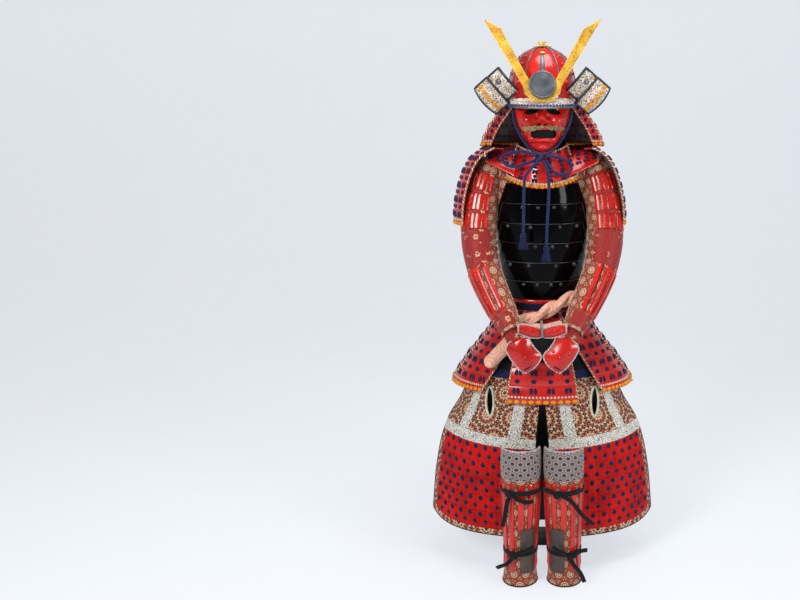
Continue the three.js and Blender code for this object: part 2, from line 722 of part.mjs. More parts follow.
// Hand and thumb plates: how far their edges lie from the middle of the suit
const HAND = [
  { z: 788, inner: 42, outer: 66 },
  { z: 778, inner: 38, outer: 88 },
  { z: 766, inner: 32, outer: 103 },
  { z: 750, inner: 20, outer: 110 },
  { z: 734, inner: 5, outer: 104 },
  { z: 716, inner: 6, outer: 93 },
  { z: 700, inner: 18, outer: 80 },
  { z: 687, inner: 31, outer: 68 },
  { z: 679, inner: 46, outer: 58 },
];
function handPlate() {
  const at = (u, v) => {
    const z = lerp(788, 679, v);
    const { inner, outer } = read(HAND, z);
    const across = Math.sin(Math.PI * Math.min(Math.max(u, 0), 1));
    const bulge = 15 * across * Math.sin(Math.PI * (0.15 + 0.7 * v));
    return vec(lerp(inner, outer, u), -249 - bulge - 12 * v, z);
  };
  return wall({ at, across: steps(7), down: steps(8), thick: LACQUER, inside: 2 });
}
const THUMB = [
  { x: 1, top: 808, foot: 788 },
  { x: 12, top: 815, foot: 784 },
  { x: 34, top: 822, foot: 785 },
  { x: 56, top: 826, foot: 792 },
  { x: 72, top: 826, foot: 798 },
];
function thumbPlate() {
  const at = (u, v) => {
    const x = lerp(1, 72, u);
    const { top, foot } = read(THUMB, x);
    return vec(x, -251.5 - 9 * Math.sin(Math.PI * Math.min(Math.max(v, 0), 1)), lerp(top, foot, v));
  };
  return wall({ at, across: steps(6), down: steps(4), thick: LACQUER });
}

// Skirt: seven hanging panels of five laced lames. Angles in degrees from the front.
const SKIRT_PANELS = [
  { name: "front", top: [-24.5, 24.5], foot: [-21, 21], reach: 560 },
  { name: "fore_right", top: [25.8, 75], foot: [40, 79], reach: 585 },
  { name: "side_right", top: [76.3, 126], foot: [82, 123], reach: 590 },
  { name: "back_right", top: [127.3, 179.3], foot: [128, 177], reach: 592 },
  { name: "fore_left", top: [-75, -25.8], foot: [-79, -40], reach: 585 },
  { name: "side_left", top: [-126, -76.3], foot: [-123, -82], reach: 590 },
  { name: "back_left", top: [-179.3, -127.3], foot: [-177, -128], reach: 592 },
];
function buildSkirt() {
  const { down, raise } = lames(5, 3);
  for (const { name, top, foot, reach } of SKIRT_PANELS) {
    const at = (u, v) => {
      const angle = rad(lerp(lerp(top[0], top[1], u), lerp(foot[0], foot[1], u), v));
      return onOval(SKIRT, lerp(836 - SEAM, reach, v), angle);
    };
    const panel = wall({ at, across: steps(5), down, thick: 2.5, raise, inside: [0, 2, 4, 6, 8, 9] });
    add(`skirt_${name}`, panel, RED);
  }
}

// Thigh guards: two halves of an apron under one waist band, plated below
const APRON = { top: 660, foot: 118, plates: 415, band: 443, hem: 138, inner: 6, parted: 21, outer: 69 };
const apronAt = (u, v, from = APRON.top, to = APRON.foot) => {
  const z = lerp(from, to, v);
  const { a, b } = read(THIGH, z);
  const gap = lerp(APRON.inner, APRON.parted, Math.min(Math.max((580 - z) / 150, 0), 1));
  const start = Math.asin(gap / a);
  const angle = lerp(start, rad(APRON.outer), u);
  const lift = ((430 - Math.min(z, 430)) / 312) * 42 * u ** 5;
  const tilt = z < 560 ? 26 * Math.sin(Math.PI * Math.min((560 - z) / 240, 1)) * u ** 2 : 0;
  return vec(...oval(a, b, angle), z + lift + tilt);
};
const SLIT = { x: 166, z: 553, wide: 19, high: 85 };
function buildApron() {
  const across = steps(10);
  addPair("thigh_cloth", () => {
    const rows = [660, 646, 632, 590, 540, 490, APRON.band, ...steps(5, APRON.plates, APRON.hem), APRON.foot];
    const down = rows.map((z) => (APRON.top - z) / (APRON.top - APRON.foot));
    const cloth = wall({ at: apronAt, across, down, thick: CLOTH });
    const leaf = new THREE.Shape();
    leaf.moveTo(0, -SLIT.high / 2);
    leaf.quadraticCurveTo(SLIT.wide, 0, 0, SLIT.high / 2);
    leaf.quadraticCurveTo(-SLIT.wide, 0, 0, -SLIT.high / 2);
    const slit = new THREE.ExtrudeGeometry(leaf, { depth: 120, bevelEnabled: false, curveSegments: 4 });
    slit.rotateX(Math.PI / 2).translate(SLIT.x, -80, SLIT.z);
    return cut(cloth, slit);
  }, BROCADE);
  const layer = (from, to, proud, rows, thick) => {
    const at = (u, v) => apronAt(u, v, from, to);
    const moved = movedOut(at, 0.5 + thick);
    const { down, raise } = lames(rows, proud);
    return wall({ at: moved, across, down, thick, raise, inside: [0, 2, 4, 6, 8, 9] });
  };
  addPair("thigh_plates", () => layer(APRON.plates, APRON.hem, 2.5, 5, 2), RED);
  const belt = (u, v) => {
    const z = lerp(659, 632, v);
    const { a, b } = read(THIGH, z);
    return vec(...oval(a + 9.4, b + 9.4, u * 2 * Math.PI), z);
  };
  const round = steps(32).slice(0, -1);
  add("waist_band", wall({ at: belt, across: round, down: [0, 1], thick: 7, closed: true }), NAVY);
}

// Shin guards with their padded knees and cloth ties
const SHIN = { x: 66, y: -266, open: 112, splay: 4 };
const SHIN_SHAPE = [
  { z: 450, a: 60, b: 57 },
  { z: 350, a: 60, b: 55 },
  { z: 220, a: 55, b: 52 },
  { z: 90, a: 48, b: 47 },
  { z: 0, a: 55, b: 54 },
];
const KNEE = { top: 446, foot: 352 };
const shinAt = (from, to, open = SHIN.open) => (u, v) => {
  const z = lerp(from, to, v);
  const { a, b } = read(SHIN_SHAPE, z);
  const [x, y] = oval(a, b, rad(lerp(-open, open, u)), SHIN.y);
  return vec(SHIN.x + SHIN.splay * Math.max(1 - z / 300, 0) + x, y, z);
};
// 0 at both ends of a span, 1 in its middle
const arch = (t) => Math.sin(Math.PI * Math.min(Math.max(t, 0), 1));

function buildShins() {
  const ribs = 20;
  addPair("shin_guard", () => wall({
    at: shinAt(KNEE.foot, 0),
    across: steps(ribs),
    down: [0, 0.05, 0.06, 0.35, 0.62, 0.76, 0.85, 0.86, 1],
    thick: 2.5,
    inside: [0, 3, 4, 5, 6, 8],
    raise: (u, v) => {
      const onRib = [1, 2].includes(Math.round(u * ribs) % 4);
      return onRib && v > 0.055 && v < 0.855 ? 3 : 0;
    },
  }), RED);
  addPair("knee_guard", () => wall({
    at: shinAt(KNEE.top, KNEE.foot + SEAM, 96),
    across: steps(12),
    down: steps(5),
    inside: 2,
    thick: 3,
    raise: (u, v) => 4 * Math.sqrt(arch(u) * arch(v)),
  }), KIKKO);
  for (const [name, z] of [["upper", 314], ["lower", 110]])
    addPair(`tie_${name}`, () => {
      const at = movedOut(shinAt(z + 7, z - 7, 108), 3 + 2.5 + 2 * SEAM);
      return wall({ at, across: steps(12), down: [0, 1], thick: 2 });
    }, TIE);
}

buildStand();
buildHelmet();
buildCrest();
buildMask();
buildCords();
buildCuirass();
buildSash();
buildShoulderGuards();
buildSleeves();
buildSkirt();
buildApron();
buildShins();

export default armour;
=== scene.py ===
import math
import random

import bpy
import numpy as np
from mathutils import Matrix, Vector


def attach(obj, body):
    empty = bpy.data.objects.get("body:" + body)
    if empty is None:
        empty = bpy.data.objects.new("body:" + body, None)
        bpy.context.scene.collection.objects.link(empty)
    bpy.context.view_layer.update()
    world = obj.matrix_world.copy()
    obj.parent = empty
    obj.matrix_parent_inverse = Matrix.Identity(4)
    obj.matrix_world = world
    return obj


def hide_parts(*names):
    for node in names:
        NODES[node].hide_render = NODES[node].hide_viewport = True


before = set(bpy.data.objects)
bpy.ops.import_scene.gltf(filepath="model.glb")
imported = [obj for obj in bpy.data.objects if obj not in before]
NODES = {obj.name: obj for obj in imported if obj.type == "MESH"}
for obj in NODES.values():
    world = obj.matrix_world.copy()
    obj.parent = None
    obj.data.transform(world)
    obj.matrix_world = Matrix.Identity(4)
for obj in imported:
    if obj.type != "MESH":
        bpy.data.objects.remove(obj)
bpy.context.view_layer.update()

MM = 0.001

# Camera and light


def make_camera():
    lens = bpy.data.cameras.new("camera")
    lens.sensor_width = 36
    lens.lens = 37.7
    lens.shift_x = -0.175
    camera = bpy.data.objects.new("camera", lens)
    camera.location = (-0.007, -2.7, 1.4)
    camera.rotation_euler = (math.radians(90 - 11.525), 0, 0)
    bpy.context.scene.collection.objects.link(camera)
    bpy.context.scene.camera = camera


def make_light(name, place, aim, size, power, color=(1, 1, 1)):
    lamp = bpy.data.lights.new(name, "AREA")
    lamp.size = size
    lamp.energy = power
    lamp.color = color
    holder = bpy.data.objects.new(name, lamp)
    holder.location = place
    way = Vector(aim) - Vector(place)
    holder.rotation_euler = way.to_track_quat("-Z", "Y").to_euler()
    bpy.context.scene.collection.objects.link(holder)


def make_studio():
    world = bpy.data.worlds.new("studio")
    bpy.context.scene.world = world
    world.use_nodes = True
    world.node_tree.nodes["Background"].inputs["Color"].default_value = (0.93, 0.96, 1.0, 1)
    world.node_tree.nodes["Background"].inputs["Strength"].default_value = 0.27
    bpy.context.scene.view_settings.view_transform = "Standard"
    make_light("window", (-1.7, -2.6, 2.5), (0, 0, 0.9), 1.0, 74, (1, 0.98, 0.95))
    make_light("side", (2.3, -1.9, 1.5), (0, 0, 0.8), 0.8, 32)
    make_light("top", (0.2, -0.4, 3.1), (0, 0, 1.0), 1.2, 34)
    deselect()
    bpy.ops.mesh.primitive_grid_add(x_subdivisions=2, y_subdivisions=90, size=1, location=(0, 0, 0))
    floor = bpy.context.object
    for point in floor.data.vertices:
        far = (point.co.y + 0.5) * 14 - 4.5
        bend = min(max((far - 3.0) / 2.4, 0), math.pi / 2)
        rise = max(far - 3.0 - 2.4 * math.pi / 2, 0)
        sweep = min(far, 3.0) + 2.4 * math.sin(bend)
        point.co = (point.co.x * 24, sweep, 2.4 * (1 - math.cos(bend)) + rise - 0.0006)
    bpy.ops.object.shade_smooth()
    floor.name = "backdrop"
    paint_with(floor, FLOOR)


def deselect():
    bpy.ops.object.select_all(action="DESELECT")


# Shader tools


def linear(code, alpha=1.0):
    """A colour written as six hexadecimal digits, as Blender's own linear values."""
    values = [int(code[i : i + 2], 16) / 255 for i in (0, 2, 4)]
    return tuple(v / 12.92 if v <= 0.04045 else ((v + 0.055) / 1.055) ** 2.4 for v in values) + (alpha,)


class Wiring:
    """Adds nodes to a material or a group and joins them."""

    def __init__(self, tree):
        self.tree = tree

    def put(self, kind, *feeds, **settings):
        node = self.tree.nodes.new("ShaderNode" + kind)
        for key, value in settings.items():
            setattr(node, key, value)
        for socket, value in zip(node.inputs, feeds):
            self.feed(socket, value)
        return node

    def feed(self, socket, value):
        if isinstance(value, bpy.types.NodeSocket):
            self.tree.links.new(value, socket)
        elif value is not None:
            socket.default_value = value

    def math(self, operation, a, b=None, c=None):
        return self.put("Math", a, b, c, operation=operation).outputs[0]

    def mix(self, share, a, b):
        node = self.put("Mix", data_type="RGBA")
        for socket, value in ((node.inputs[0], share), (node.inputs[6], a), (node.inputs[7], b)):
            self.feed(socket, value)
        return node.outputs[2]

    def between(self, value, low, high, to_low=0.0, to_high=1.0):
        return self.put("MapRange", value, low, high, to_low, to_high).outputs[0]

    def split(self, vector):
        node = self.put("SeparateXYZ", vector)
        return node.outputs[0], node.outputs[1], node.outputs[2]

    def noise(self, vector, scale, detail=3.0, rough=0.5):
        node = self.put("TexNoise")
        for name, value in (("Vector", vector), ("Scale", scale), ("Detail", detail), ("Roughness", rough)):
            self.feed(node.inputs[name], value)
        return node.outputs[0]

    def use(self, name, **feeds):
        node = self.tree.nodes.new("ShaderNodeGroup")
        node.node_tree = GROUPS[name]
        for key, value in feeds.items():
            self.feed(node.inputs[key.replace("_", " ")], value)
        return node.outputs


GROUPS = {}


def group(name, feeds, results):
    """Makes a shader group whose inside is worked out by the function under this line."""

    def build(inside):
        tree = bpy.data.node_groups.new(name, "ShaderNodeTree")
        for key, kind in feeds.items():
            tree.interface.new_socket(name=key, in_out="INPUT", socket_type="NodeSocket" + kind)
        for key, kind in results.items():
            tree.interface.new_socket(name=key, in_out="OUTPUT", socket_type="NodeSocket" + kind)
        wires = Wiring(tree)
        start = tree.nodes.new("NodeGroupInput")
        end = tree.nodes.new("NodeGroupOutput")
        found = inside(wires, *[start.outputs[key] for key in feeds])
        for socket, value in zip(end.inputs, found):
            wires.feed(socket, value)
        GROUPS[name] = tree
        return inside

    return build


@group("cells", {"Vector": "Vector", "Size": "Float"}, {"Radius": "Float", "Edge": "Float", "Angle": "Float"})
def cells(w, vector, size):
    """Distances from the middle of each cell of a honeycomb."""
    x, y, _ = w.split(vector)
    across = w.math("DIVIDE", x, size)
    up = w.math("DIVIDE", y, w.math("MULTIPLY", size, 1.7321))

    def offset(value, shift, stretch):
        part = w.math("FRACT", w.math("ADD", value, shift))
        return w.math("MULTIPLY", w.math("SUBTRACT", part, 0.5), stretch)

    def length(a, b):
        return w.math("SQRT", w.math("ADD", w.math("MULTIPLY", a, a), w.math("MULTIPLY", b, b)))

    ax, ay = offset(across, 0.0, 1.0), offset(up, 0.0, 1.7321)
    bx, by = offset(across, 0.5, 1.0), offset(up, 0.5, 1.7321)
    ra, rb = length(ax, ay), length(bx, by)
    first = w.math("LESS_THAN", ra, rb)
    pick = [
        w.math("ADD", w.math("MULTIPLY", first, a), w.math("MULTIPLY", w.math("SUBTRACT", 1.0, first), b))
        for a, b in ((ax, bx), (ay, by))
    ]
    qx, qy = w.math("ABSOLUTE", pick[0]), w.math("ABSOLUTE", pick[1])
    slant = w.math("ADD", w.math("MULTIPLY", qx, 0.5), w.math("MULTIPLY", qy, 0.866))
    return w.math("MINIMUM", ra, rb), w.math("MAXIMUM", qx, slant), w.math("ARCTAN2", pick[1], pick[0])


@group("petals", {"Radius": "Float", "Angle": "Float", "Count": "Float", "Inner": "Float",
    "Outer": "Float"}, {"Mask": "Float"})
def petals(w, radius, angle, count, inner, outer):
    """A ring of petals between two radii."""
    lobe = w.math("POWER", w.math("ABSOLUTE",
        w.math("COSINE", w.math("MULTIPLY", angle, w.math("MULTIPLY", count, 0.5)))), 0.6)
    rim = w.math("ADD", inner, w.math("MULTIPLY", lobe, w.math("SUBTRACT", outer, inner)))
    return [w.math("MULTIPLY", w.math("LESS_THAN", radius, rim),
        w.math("GREATER_THAN", radius, w.math("MULTIPLY", inner, 0.9)))]


@group("weave", {"Vector": "Vector", "Pitch": "Float"}, {"Height": "Float"})
def weave(w, vector, pitch):
    """Threads over and under each other."""
    x, y, z = w.split(vector)

    def wave(value):
        return w.math("SINE", w.math("MULTIPLY", w.math("DIVIDE", value, pitch), 2 * math.pi))

    return [w.math("ADD", 0.5, w.math("MULTIPLY",
        w.math("MULTIPLY", wave(w.math("ADD", x, z)), wave(w.math("ADD", y, z))), 0.5))]


@group("speckle", {"Vector": "Vector", "Scale": "Float", "Share": "Float"},
    {"Mask": "Float", "Shade": "Float"})
def speckle(w, vector, scale, share):
    """Scattered small spots."""
    spots = w.put("TexVoronoi", vector, None, scale)
    chance = w.split(spots.outputs["Color"])
    near = w.math("LESS_THAN", spots.outputs["Distance"], 0.42)
    return w.math("MULTIPLY", near, w.math("LESS_THAN", chance[0], share)), chance[1]


@group("wear", {"Vector": "Vector", "Scale": "Float", "Low": "Float", "High": "Float"},
    {"Value": "Float", "Dust": "Float"})
def wear(w, vector, scale, low, high):
    """Handling marks: an uneven polish with a little dust in patches."""
    patch = w.noise(vector, scale, 5.0, 0.6)
    fine = w.noise(vector, w.math("MULTIPLY", scale, 9.0), 4.0, 0.65)
    both = w.math("ADD", w.math("MULTIPLY", patch, 0.65), w.math("MULTIPLY", fine, 0.35))
    return w.between(both, 0.35, 0.68, low, high), w.between(both, 0.52, 0.75)


@group("braiding", {"Vector": "Vector", "Pitch": "Float", "Strands": "Float"},
    {"Height": "Float", "Left": "Float"})
def braiding(w, vector, pitch, strands):
    """Strands that cross round a cord, from a map whose x runs once round and whose y is its length."""
    x, y, _ = w.split(vector)
    along = w.math("DIVIDE", y, pitch)
    round_it = w.math("MULTIPLY", x, strands)
    a = w.math("PINGPONG", w.math("ADD", along, round_it), 0.5)
    b = w.math("PINGPONG", w.math("SUBTRACT", along, round_it), 0.5)
    return w.math("MULTIPLY", w.math("MAXIMUM", a, b), 2.0), w.math("GREATER_THAN", a, b)


def finish(name, slot, color="808080", rough=0.5, metal=0.0, **values):
    """A material whose pattern is put in by the function under this line."""

    def build(pattern=None):
        stuff = bpy.data.materials.new(name)
        stuff.use_nodes = True
        wires = Wiring(stuff.node_tree)
        shader = stuff.node_tree.nodes["Principled BSDF"]
        shader.inputs["Base Color"].default_value = linear(color)
        shader.inputs["Roughness"].default_value = rough
        shader.inputs["Metallic"].default_value = metal
        for key, value in values.items():
            shader.inputs[key.replace("_", " ")].default_value = value
        place = wires.put("TexCoord").outputs
        drawn = pattern(wires, place["Object"], place["UV"]) if pattern else {}
        for key, value in drawn.items():
            if key == "Height":
                strength, distance, height = value
                bump = wires.put("Bump")
                bump.inputs["Strength"].default_value = strength
                bump.inputs["Distance"].default_value = distance
                wires.feed(bump.inputs["Height"], height)
                value, key = bump.outputs[0], "Normal"
            wires.feed(shader.inputs[key], value)
        stuff["slot"] = slot
        return stuff

    return build


def lacquer(name, slot, color, deep, rough=0.14, metal=0.0, coat=0.45, shine=0.4):
    """A polished lacquer that is a little uneven, darker where it is thin."""

    def pattern(w, place, uv):
        worn = w.use("wear", Vector=place, Scale=9.0, Low=rough * 0.6, High=rough * 2.1)
        shade = w.between(w.noise(place, 14.0, 3.0), 0.35, 0.7)
        ripple = w.noise(place, 38.0, 2.0)
        return {
            "Base Color": w.mix(shade, linear(deep), linear(color)),
            "Roughness": worn["Value"],
            "Height": (0.10, 0.004, ripple),
        }

    return finish(name, slot, color, rough, metal, Coat_Weight=coat, Coat_Roughness=0.09,
        Specular_IOR_Level=shine)(pattern)


RED = lacquer("red lacquer", "lacquer_red", "cf1b10", "a8100a", 0.2, coat=0.3)
SCALE = lacquer("red scale lacquer", "lacquer_red", "c8120c", "a00b07", 0.42, coat=0.0, shine=0.14)
BLACK = lacquer("black lacquer", "lacquer_black", "050507", "020203", 0.1, coat=0.0, shine=0.08)
# Black lacquer painted mid grey: a painted reflection for the cuirass's rims, lame edges and front rivets.
REFLECTION_BLACK = lacquer("black edge with painted reflection", "lacquer_black", "2b2b31", "0d0d10", 0.26, coat=0.3, shine=0.5)
MAROON = lacquer("maroon lacquer", "lacquer_maroon", "5c0f1b", "330810", 0.45, coat=0.0, shine=0.3)


@finish("chest lacquer", "chest_black", "12151a", 0.34, Specular_IOR_Level=0.2)
def CHEST(w, place, uv):
    worn = w.use("wear", Vector=place, Scale=5.0, Low=0.24, High=0.5)
    rubbed = w.math("MULTIPLY", w.between(w.noise(place, 60.0, 6.0, 0.7), 0.62, 0.72), 0.5)
    return {
        "Base Color": w.mix(rubbed, linear("12151a"), linear("2b2620")),
        "Roughness": worn["Value"],
        "Height": (0.15, 0.002, w.noise(place, 26.0, 5.0)),
    }


def gilding(name, color, deep, rough, metal, spots, slot="gilt"):
    def pattern(w, place, uv):
        mark = w.use("speckle", Vector=place, Scale=330.0, Share=spots)
        worn = w.use("wear", Vector=place, Scale=22.0, Low=rough * 0.7, High=rough * 1.7)
        tone = w.mix(w.between(w.noise(place, 30.0, 5.0), 0.35, 0.65), linear(color), linear(deep))
        return {
            "Base Color": w.mix(mark["Mask"], tone, linear("4a3212")),
            "Roughness": worn["Value"],
            "Height": (0.25, 0.001, w.noise(place, 150.0, 3.0)),
        }

    return finish(name, slot, color, rough, metal)(pattern)


GOLD = gilding("gold leaf", "ffcf4f", "e0a43a", 0.32, 0.6, 0.16)
PALE_GOLD = gilding("pale gold leaf", "efe0a8", "cdb878", 0.36, 0.45, 0.05)
STEEL = gilding("grey iron", "777c82", "565b61", 0.38, 0.6, 0.0, "dark_steel")
DARK_RIM = gilding("dark iron rim", "3c4046", "2a2d33", 0.4, 0.5, 0.0, "dark_steel")


def silk(name, slot, color, deep, pitch=0.0011):
    def pattern(w, place, uv):
        thread = w.use("weave", Vector=place, Pitch=pitch)["Height"]
        patch = w.between(w.noise(place, 70.0, 3.0), 0.3, 0.7)
        return {
            "Base Color": w.mix(w.math("MULTIPLY", thread, patch), linear(deep), linear(color)),
            "Height": (0.5, 0.0006, thread),
        }

    return finish(name, slot, color, 0.72, 0.0, Sheen_Weight=0.08, Specular_IOR_Level=0.15)(pattern)


NAVY = silk("navy braid", "navy_braid", "242e62", "10152f")
BLUE = silk("blue braid", "navy_braid", "4a5fae", "26346e")
YELLOW = silk("yellow braid", "gilt", "ffb01f", "cf7f10", 0.0016)
CREAM = silk("cream braid", "gilt", "eee8d2", "b3b09a")
COTTON = silk("black cotton", "black_cotton", "17181d", "08090b", 0.0014)
PALE_SILK = silk("pale piping", "hexagon_cloth", "d8d2cc", "8a8088")


@finish("navy chin cord", "navy_braid", "212a54", 0.75, Sheen_Weight=0.1, Specular_IOR_Level=0.15)
def CORD_SILK(w, place, uv):
    strands = w.use("braiding", Vector=uv, Pitch=0.011, Strands=3.0)
    # Painted shade and light: the cord is darker down in the grooves between its strands and lighter on their
    # crowns.
    tone = w.mix(w.math("POWER", strands["Height"], 1.8), linear("070a18"), linear("2b3870"))
    return {"Base Color": tone, "Height": (0.9, 0.0015, strands["Height"])}


def striped(name, slot, colors, pitch):
    """A braid of coloured strands that slant round it."""

    def pattern(w, place, uv):
        x, y, _ = w.split(uv)
        turn = w.math("FRACT", w.math("ADD", w.math("DIVIDE", y, pitch), w.math("MULTIPLY", x, 1.0)))
        tone = linear(colors[0])
        for i, code in enumerate(colors[1:], 1):
            tone = w.mix(w.math("GREATER_THAN", turn, i / len(colors)), tone, linear(code))
        ridge = w.math("PINGPONG", w.math("MULTIPLY", turn, len(colors)), 0.5)
        return {"Base Color": tone, "Height": (0.8, 0.0012, ridge)}

    return finish(name, slot, colors[0], 0.7, 0.0, Sheen_Weight=0.2)(pattern)


EDGING = striped("edging braid", "navy_braid", ["c92a24", "ece6d2", "27325e", "c92a24", "d8a23a", "5c7a4a"],
    0.021)
PIPING = striped("speckled piping", "dark_steel", ["efece2", "26282d", "d9d6cc", "3f4148"], 0.0115)


@finish("printed leather", "printed_leather", "d8d5c6", 0.62)
def LEATHER(w, place, uv):
    brown = w.use("speckle", Vector=place, Scale=210.0, Share=0.62)
    dark = w.use("speckle", Vector=place, Scale=250.0, Share=0.5)
    ochre = w.use("speckle", Vector=place, Scale=170.0, Share=0.42)
    base = w.mix(w.between(w.noise(place, 40.0), 0.3, 0.7), linear("e6e3d8"), linear("bdb9a8"))
    tone = w.mix(ochre["Mask"], base, linear("c08a3c"))
    tone = w.mix(brown["Mask"], tone, linear("8a4530"))
    tone = w.mix(dark["Mask"], tone, linear("4a4f52"))
    return {"Base Color": tone, "Height": (0.25, 0.0006, w.noise(place, 420.0, 3.0))}


@finish("brown leather", "printed_leather", "4a3a33", 0.5)
def BROWN_LEATHER(w, place, uv):
    worn = w.use("wear", Vector=place, Scale=16.0, Low=0.38, High=0.68)
    tone = w.mix(worn["Dust"], linear("41322c"), linear("6a564a"))
    return {"Base Color": tone, "Roughness": worn["Value"],
        "Height": (0.3, 0.0008, w.noise(place, 260.0, 4.0))}


def florals(w, uv, size, ground, deep, outer, inner, heart):
    """Large round flowers, ring in ring, on a darker ground with small blossoms."""
    big = w.use("cells", Vector=uv, Size=size)
    small = w.use("cells", Vector=uv, Size=size * 0.2)
    tiny = w.use("cells", Vector=uv, Size=size * 0.09)

    def ring(source, count, low, high):
        return w.use("petals", Radius=source["Radius"], Angle=source["Angle"], Count=count, Inner=low,
            Outer=high)["Mask"]

    tone = w.mix(w.noise(uv, 90.0, 3.0), linear(ground), linear(deep))
    tone = w.mix(w.math("LESS_THAN", small["Radius"], 0.3), tone, linear(inner))
    tone = w.mix(w.math("LESS_THAN", small["Radius"], 0.16), tone, linear(deep))
    tone = w.mix(w.math("LESS_THAN", big["Radius"], 0.49), tone, linear(deep))
    tone = w.mix(ring(big, 18.0, 0.33, 0.475), tone, linear(outer))
    tone = w.mix(ring(big, 18.0, 0.33, 0.40), tone, linear(ground))
    tone = w.mix(w.math("LESS_THAN", big["Radius"], 0.325), tone, linear(deep))
    tone = w.mix(ring(big, 12.0, 0.17, 0.31), tone, linear(inner))
    tone = w.mix(ring(big, 12.0, 0.17, 0.235), tone, linear(outer))
    tone = w.mix(w.math("LESS_THAN", big["Radius"], 0.16), tone, linear(deep))
    tone = w.mix(ring(big, 8.0, 0.07, 0.14), tone, linear(heart))
    tone = w.mix(w.math("LESS_THAN", big["Radius"], 0.05), tone, linear(deep))
    tone = w.mix(w.math("MULTIPLY", w.math("LESS_THAN", tiny["Radius"], 0.22), 0.45), tone, linear(outer))
    thread = w.use("weave", Vector=uv, Pitch=0.0012)["Height"]
    return w.mix(w.math("MULTIPLY", thread, 0.25), tone, linear(deep)), thread


def brocade(name, slot, size, *tones):
    def pattern(w, place, uv):
        tone, thread = florals(w, uv, size, *tones)
        return {"Base Color": tone, "Height": (0.4, 0.0006, thread)}

    return finish(name, slot, tones[0], 0.66, 0.0, Sheen_Weight=0.1, Specular_IOR_Level=0.25)(pattern)


APRON_SILK = brocade("apron brocade", "brocade", 0.088, "7a2a18", "2a0d09", "dcb898", "b4603f", "e0bd95")
SLEEVE_SILK = brocade("sleeve brocade", "brocade", 0.040, "922c1a", "54150b", "b0563a", "ead6b0", "f3e6c6")
PINK_SILK = brocade("pink brocade", "pink_brocade", 0.05, "f0b39c", "dd957f", "f6cdb8", "e3ad7c", "fadcc8")


@finish("white figured band", "printed_leather", "d9d6cc", 0.6, Sheen_Weight=0.2)
def WHITE_BAND(w, place, uv):
    veins = w.put("TexVoronoi", uv, None, 160.0, feature="DISTANCE_TO_EDGE").outputs["Distance"]
    wander = w.noise(uv, 420.0, 4.0, 0.7)
    line = w.math("LESS_THAN", w.math("ADD", veins, w.math("MULTIPLY", wander, 0.30)), 0.21)
    base = w.mix(w.between(w.noise(uv, 60.0), 0.3, 0.7), linear("ebe8df"), linear("c2c1b8"))
    return {"Base Color": w.mix(w.math("MULTIPLY", line, 0.9), base, linear("3f3a35")),
        "Height": (0.5, 0.0008, line)}


@finish("mail", "lacquer_maroon", "8a1f1b", 0.45, 0.15)
def MAIL(w, place, uv):
    links = w.use("cells", Vector=uv, Size=0.0085)
    ring = w.math("SUBTRACT", 1.0, w.math("MULTIPLY",
        w.math("ABSOLUTE", w.math("SUBTRACT", links["Radius"], 0.36)), 7.0))
    ring = w.math("MAXIMUM", ring, 0.0)
    flowers = w.use("cells", Vector=uv, Size=0.034)
    bloom = w.use("petals", Radius=flowers["Radius"], Angle=flowers["Angle"], Count=6.0, Inner=0.1,
        Outer=0.3)["Mask"]
    chosen = w.math("MULTIPLY", bloom, w.between(w.noise(uv, 26.0, 1.0), 0.54, 0.62))
    tone = w.mix(ring, linear("5a0d0c"), linear("e2382c"))
    tone = w.mix(w.math("MULTIPLY", chosen, 0.7), tone, linear("ead2a4"))
    return {"Base Color": tone, "Height": (0.9, 0.0014, ring)}


@finish("hexagon cloth", "hexagon_cloth", "8f8596", 0.75, Sheen_Weight=0.3)
def HEXAGONS(w, place, uv):
    comb = w.use("cells", Vector=uv, Size=0.0215)
    tone = w.mix(w.math("LESS_THAN", comb["Edge"], 0.455), linear("43345a"), linear("9f9182"))
    tone = w.mix(w.math("LESS_THAN", comb["Edge"], 0.40), tone, linear("665671"))
    tone = w.mix(w.math("LESS_THAN", comb["Radius"], 0.37), tone, linear("b9a685"))
    tone = w.mix(w.math("LESS_THAN", comb["Radius"], 0.28), tone, linear("14173a"))
    thread = w.use("weave", Vector=uv, Pitch=0.0011)["Height"]
    return {"Base Color": w.mix(w.math("MULTIPLY", thread, 0.2), tone, linear("4a4250")),
        "Height": (0.35, 0.0006, thread)}


@finish("stand wood", "stand_wood", "8a5a34", 0.5)
def WOOD(w, place, uv):
    x, y, z = w.split(place)
    long_grain = w.put("CombineXYZ", x, y, w.math("MULTIPLY", z, 0.06)).outputs[0]
    grain = w.noise(long_grain, 130.0, 6.0, 0.6)
    tone = w.mix(w.between(grain, 0.35, 0.65), linear("5f3a20"), linear("a8744a"))
    return {"Base Color": tone, "Roughness": w.between(grain, 0.3, 0.7, 0.42, 0.66),
        "Height": (0.3, 0.0008, grain)}


@finish("moustache hair", "printed_leather", "8a6a3a", 0.6, Sheen_Weight=0.3)
def HAIR(w, place, uv):
    tone = w.between(w.noise(place, 240.0), 0.35, 0.65)
    return {"Base Color": w.mix(tone, linear("6b4a26"), linear("a88a55"))}


@finish("studio paper", "", "9da0a5", 0.95, Emission_Color=linear("e2e5eb"), Emission_Strength=0.76,
    Specular_IOR_Level=0.0)
def FLOOR(w, place, uv):
    return {"Base Color": w.mix(w.noise(place, 3.0), linear("989ba0"), linear("9da0a5"))}


def paint_with(obj, stuff):
    obj.data.materials.clear()
    obj.data.materials.append(stuff)


make_camera()
make_studio()

# Surfaces of the suit, in millimetres, as in the part's own source


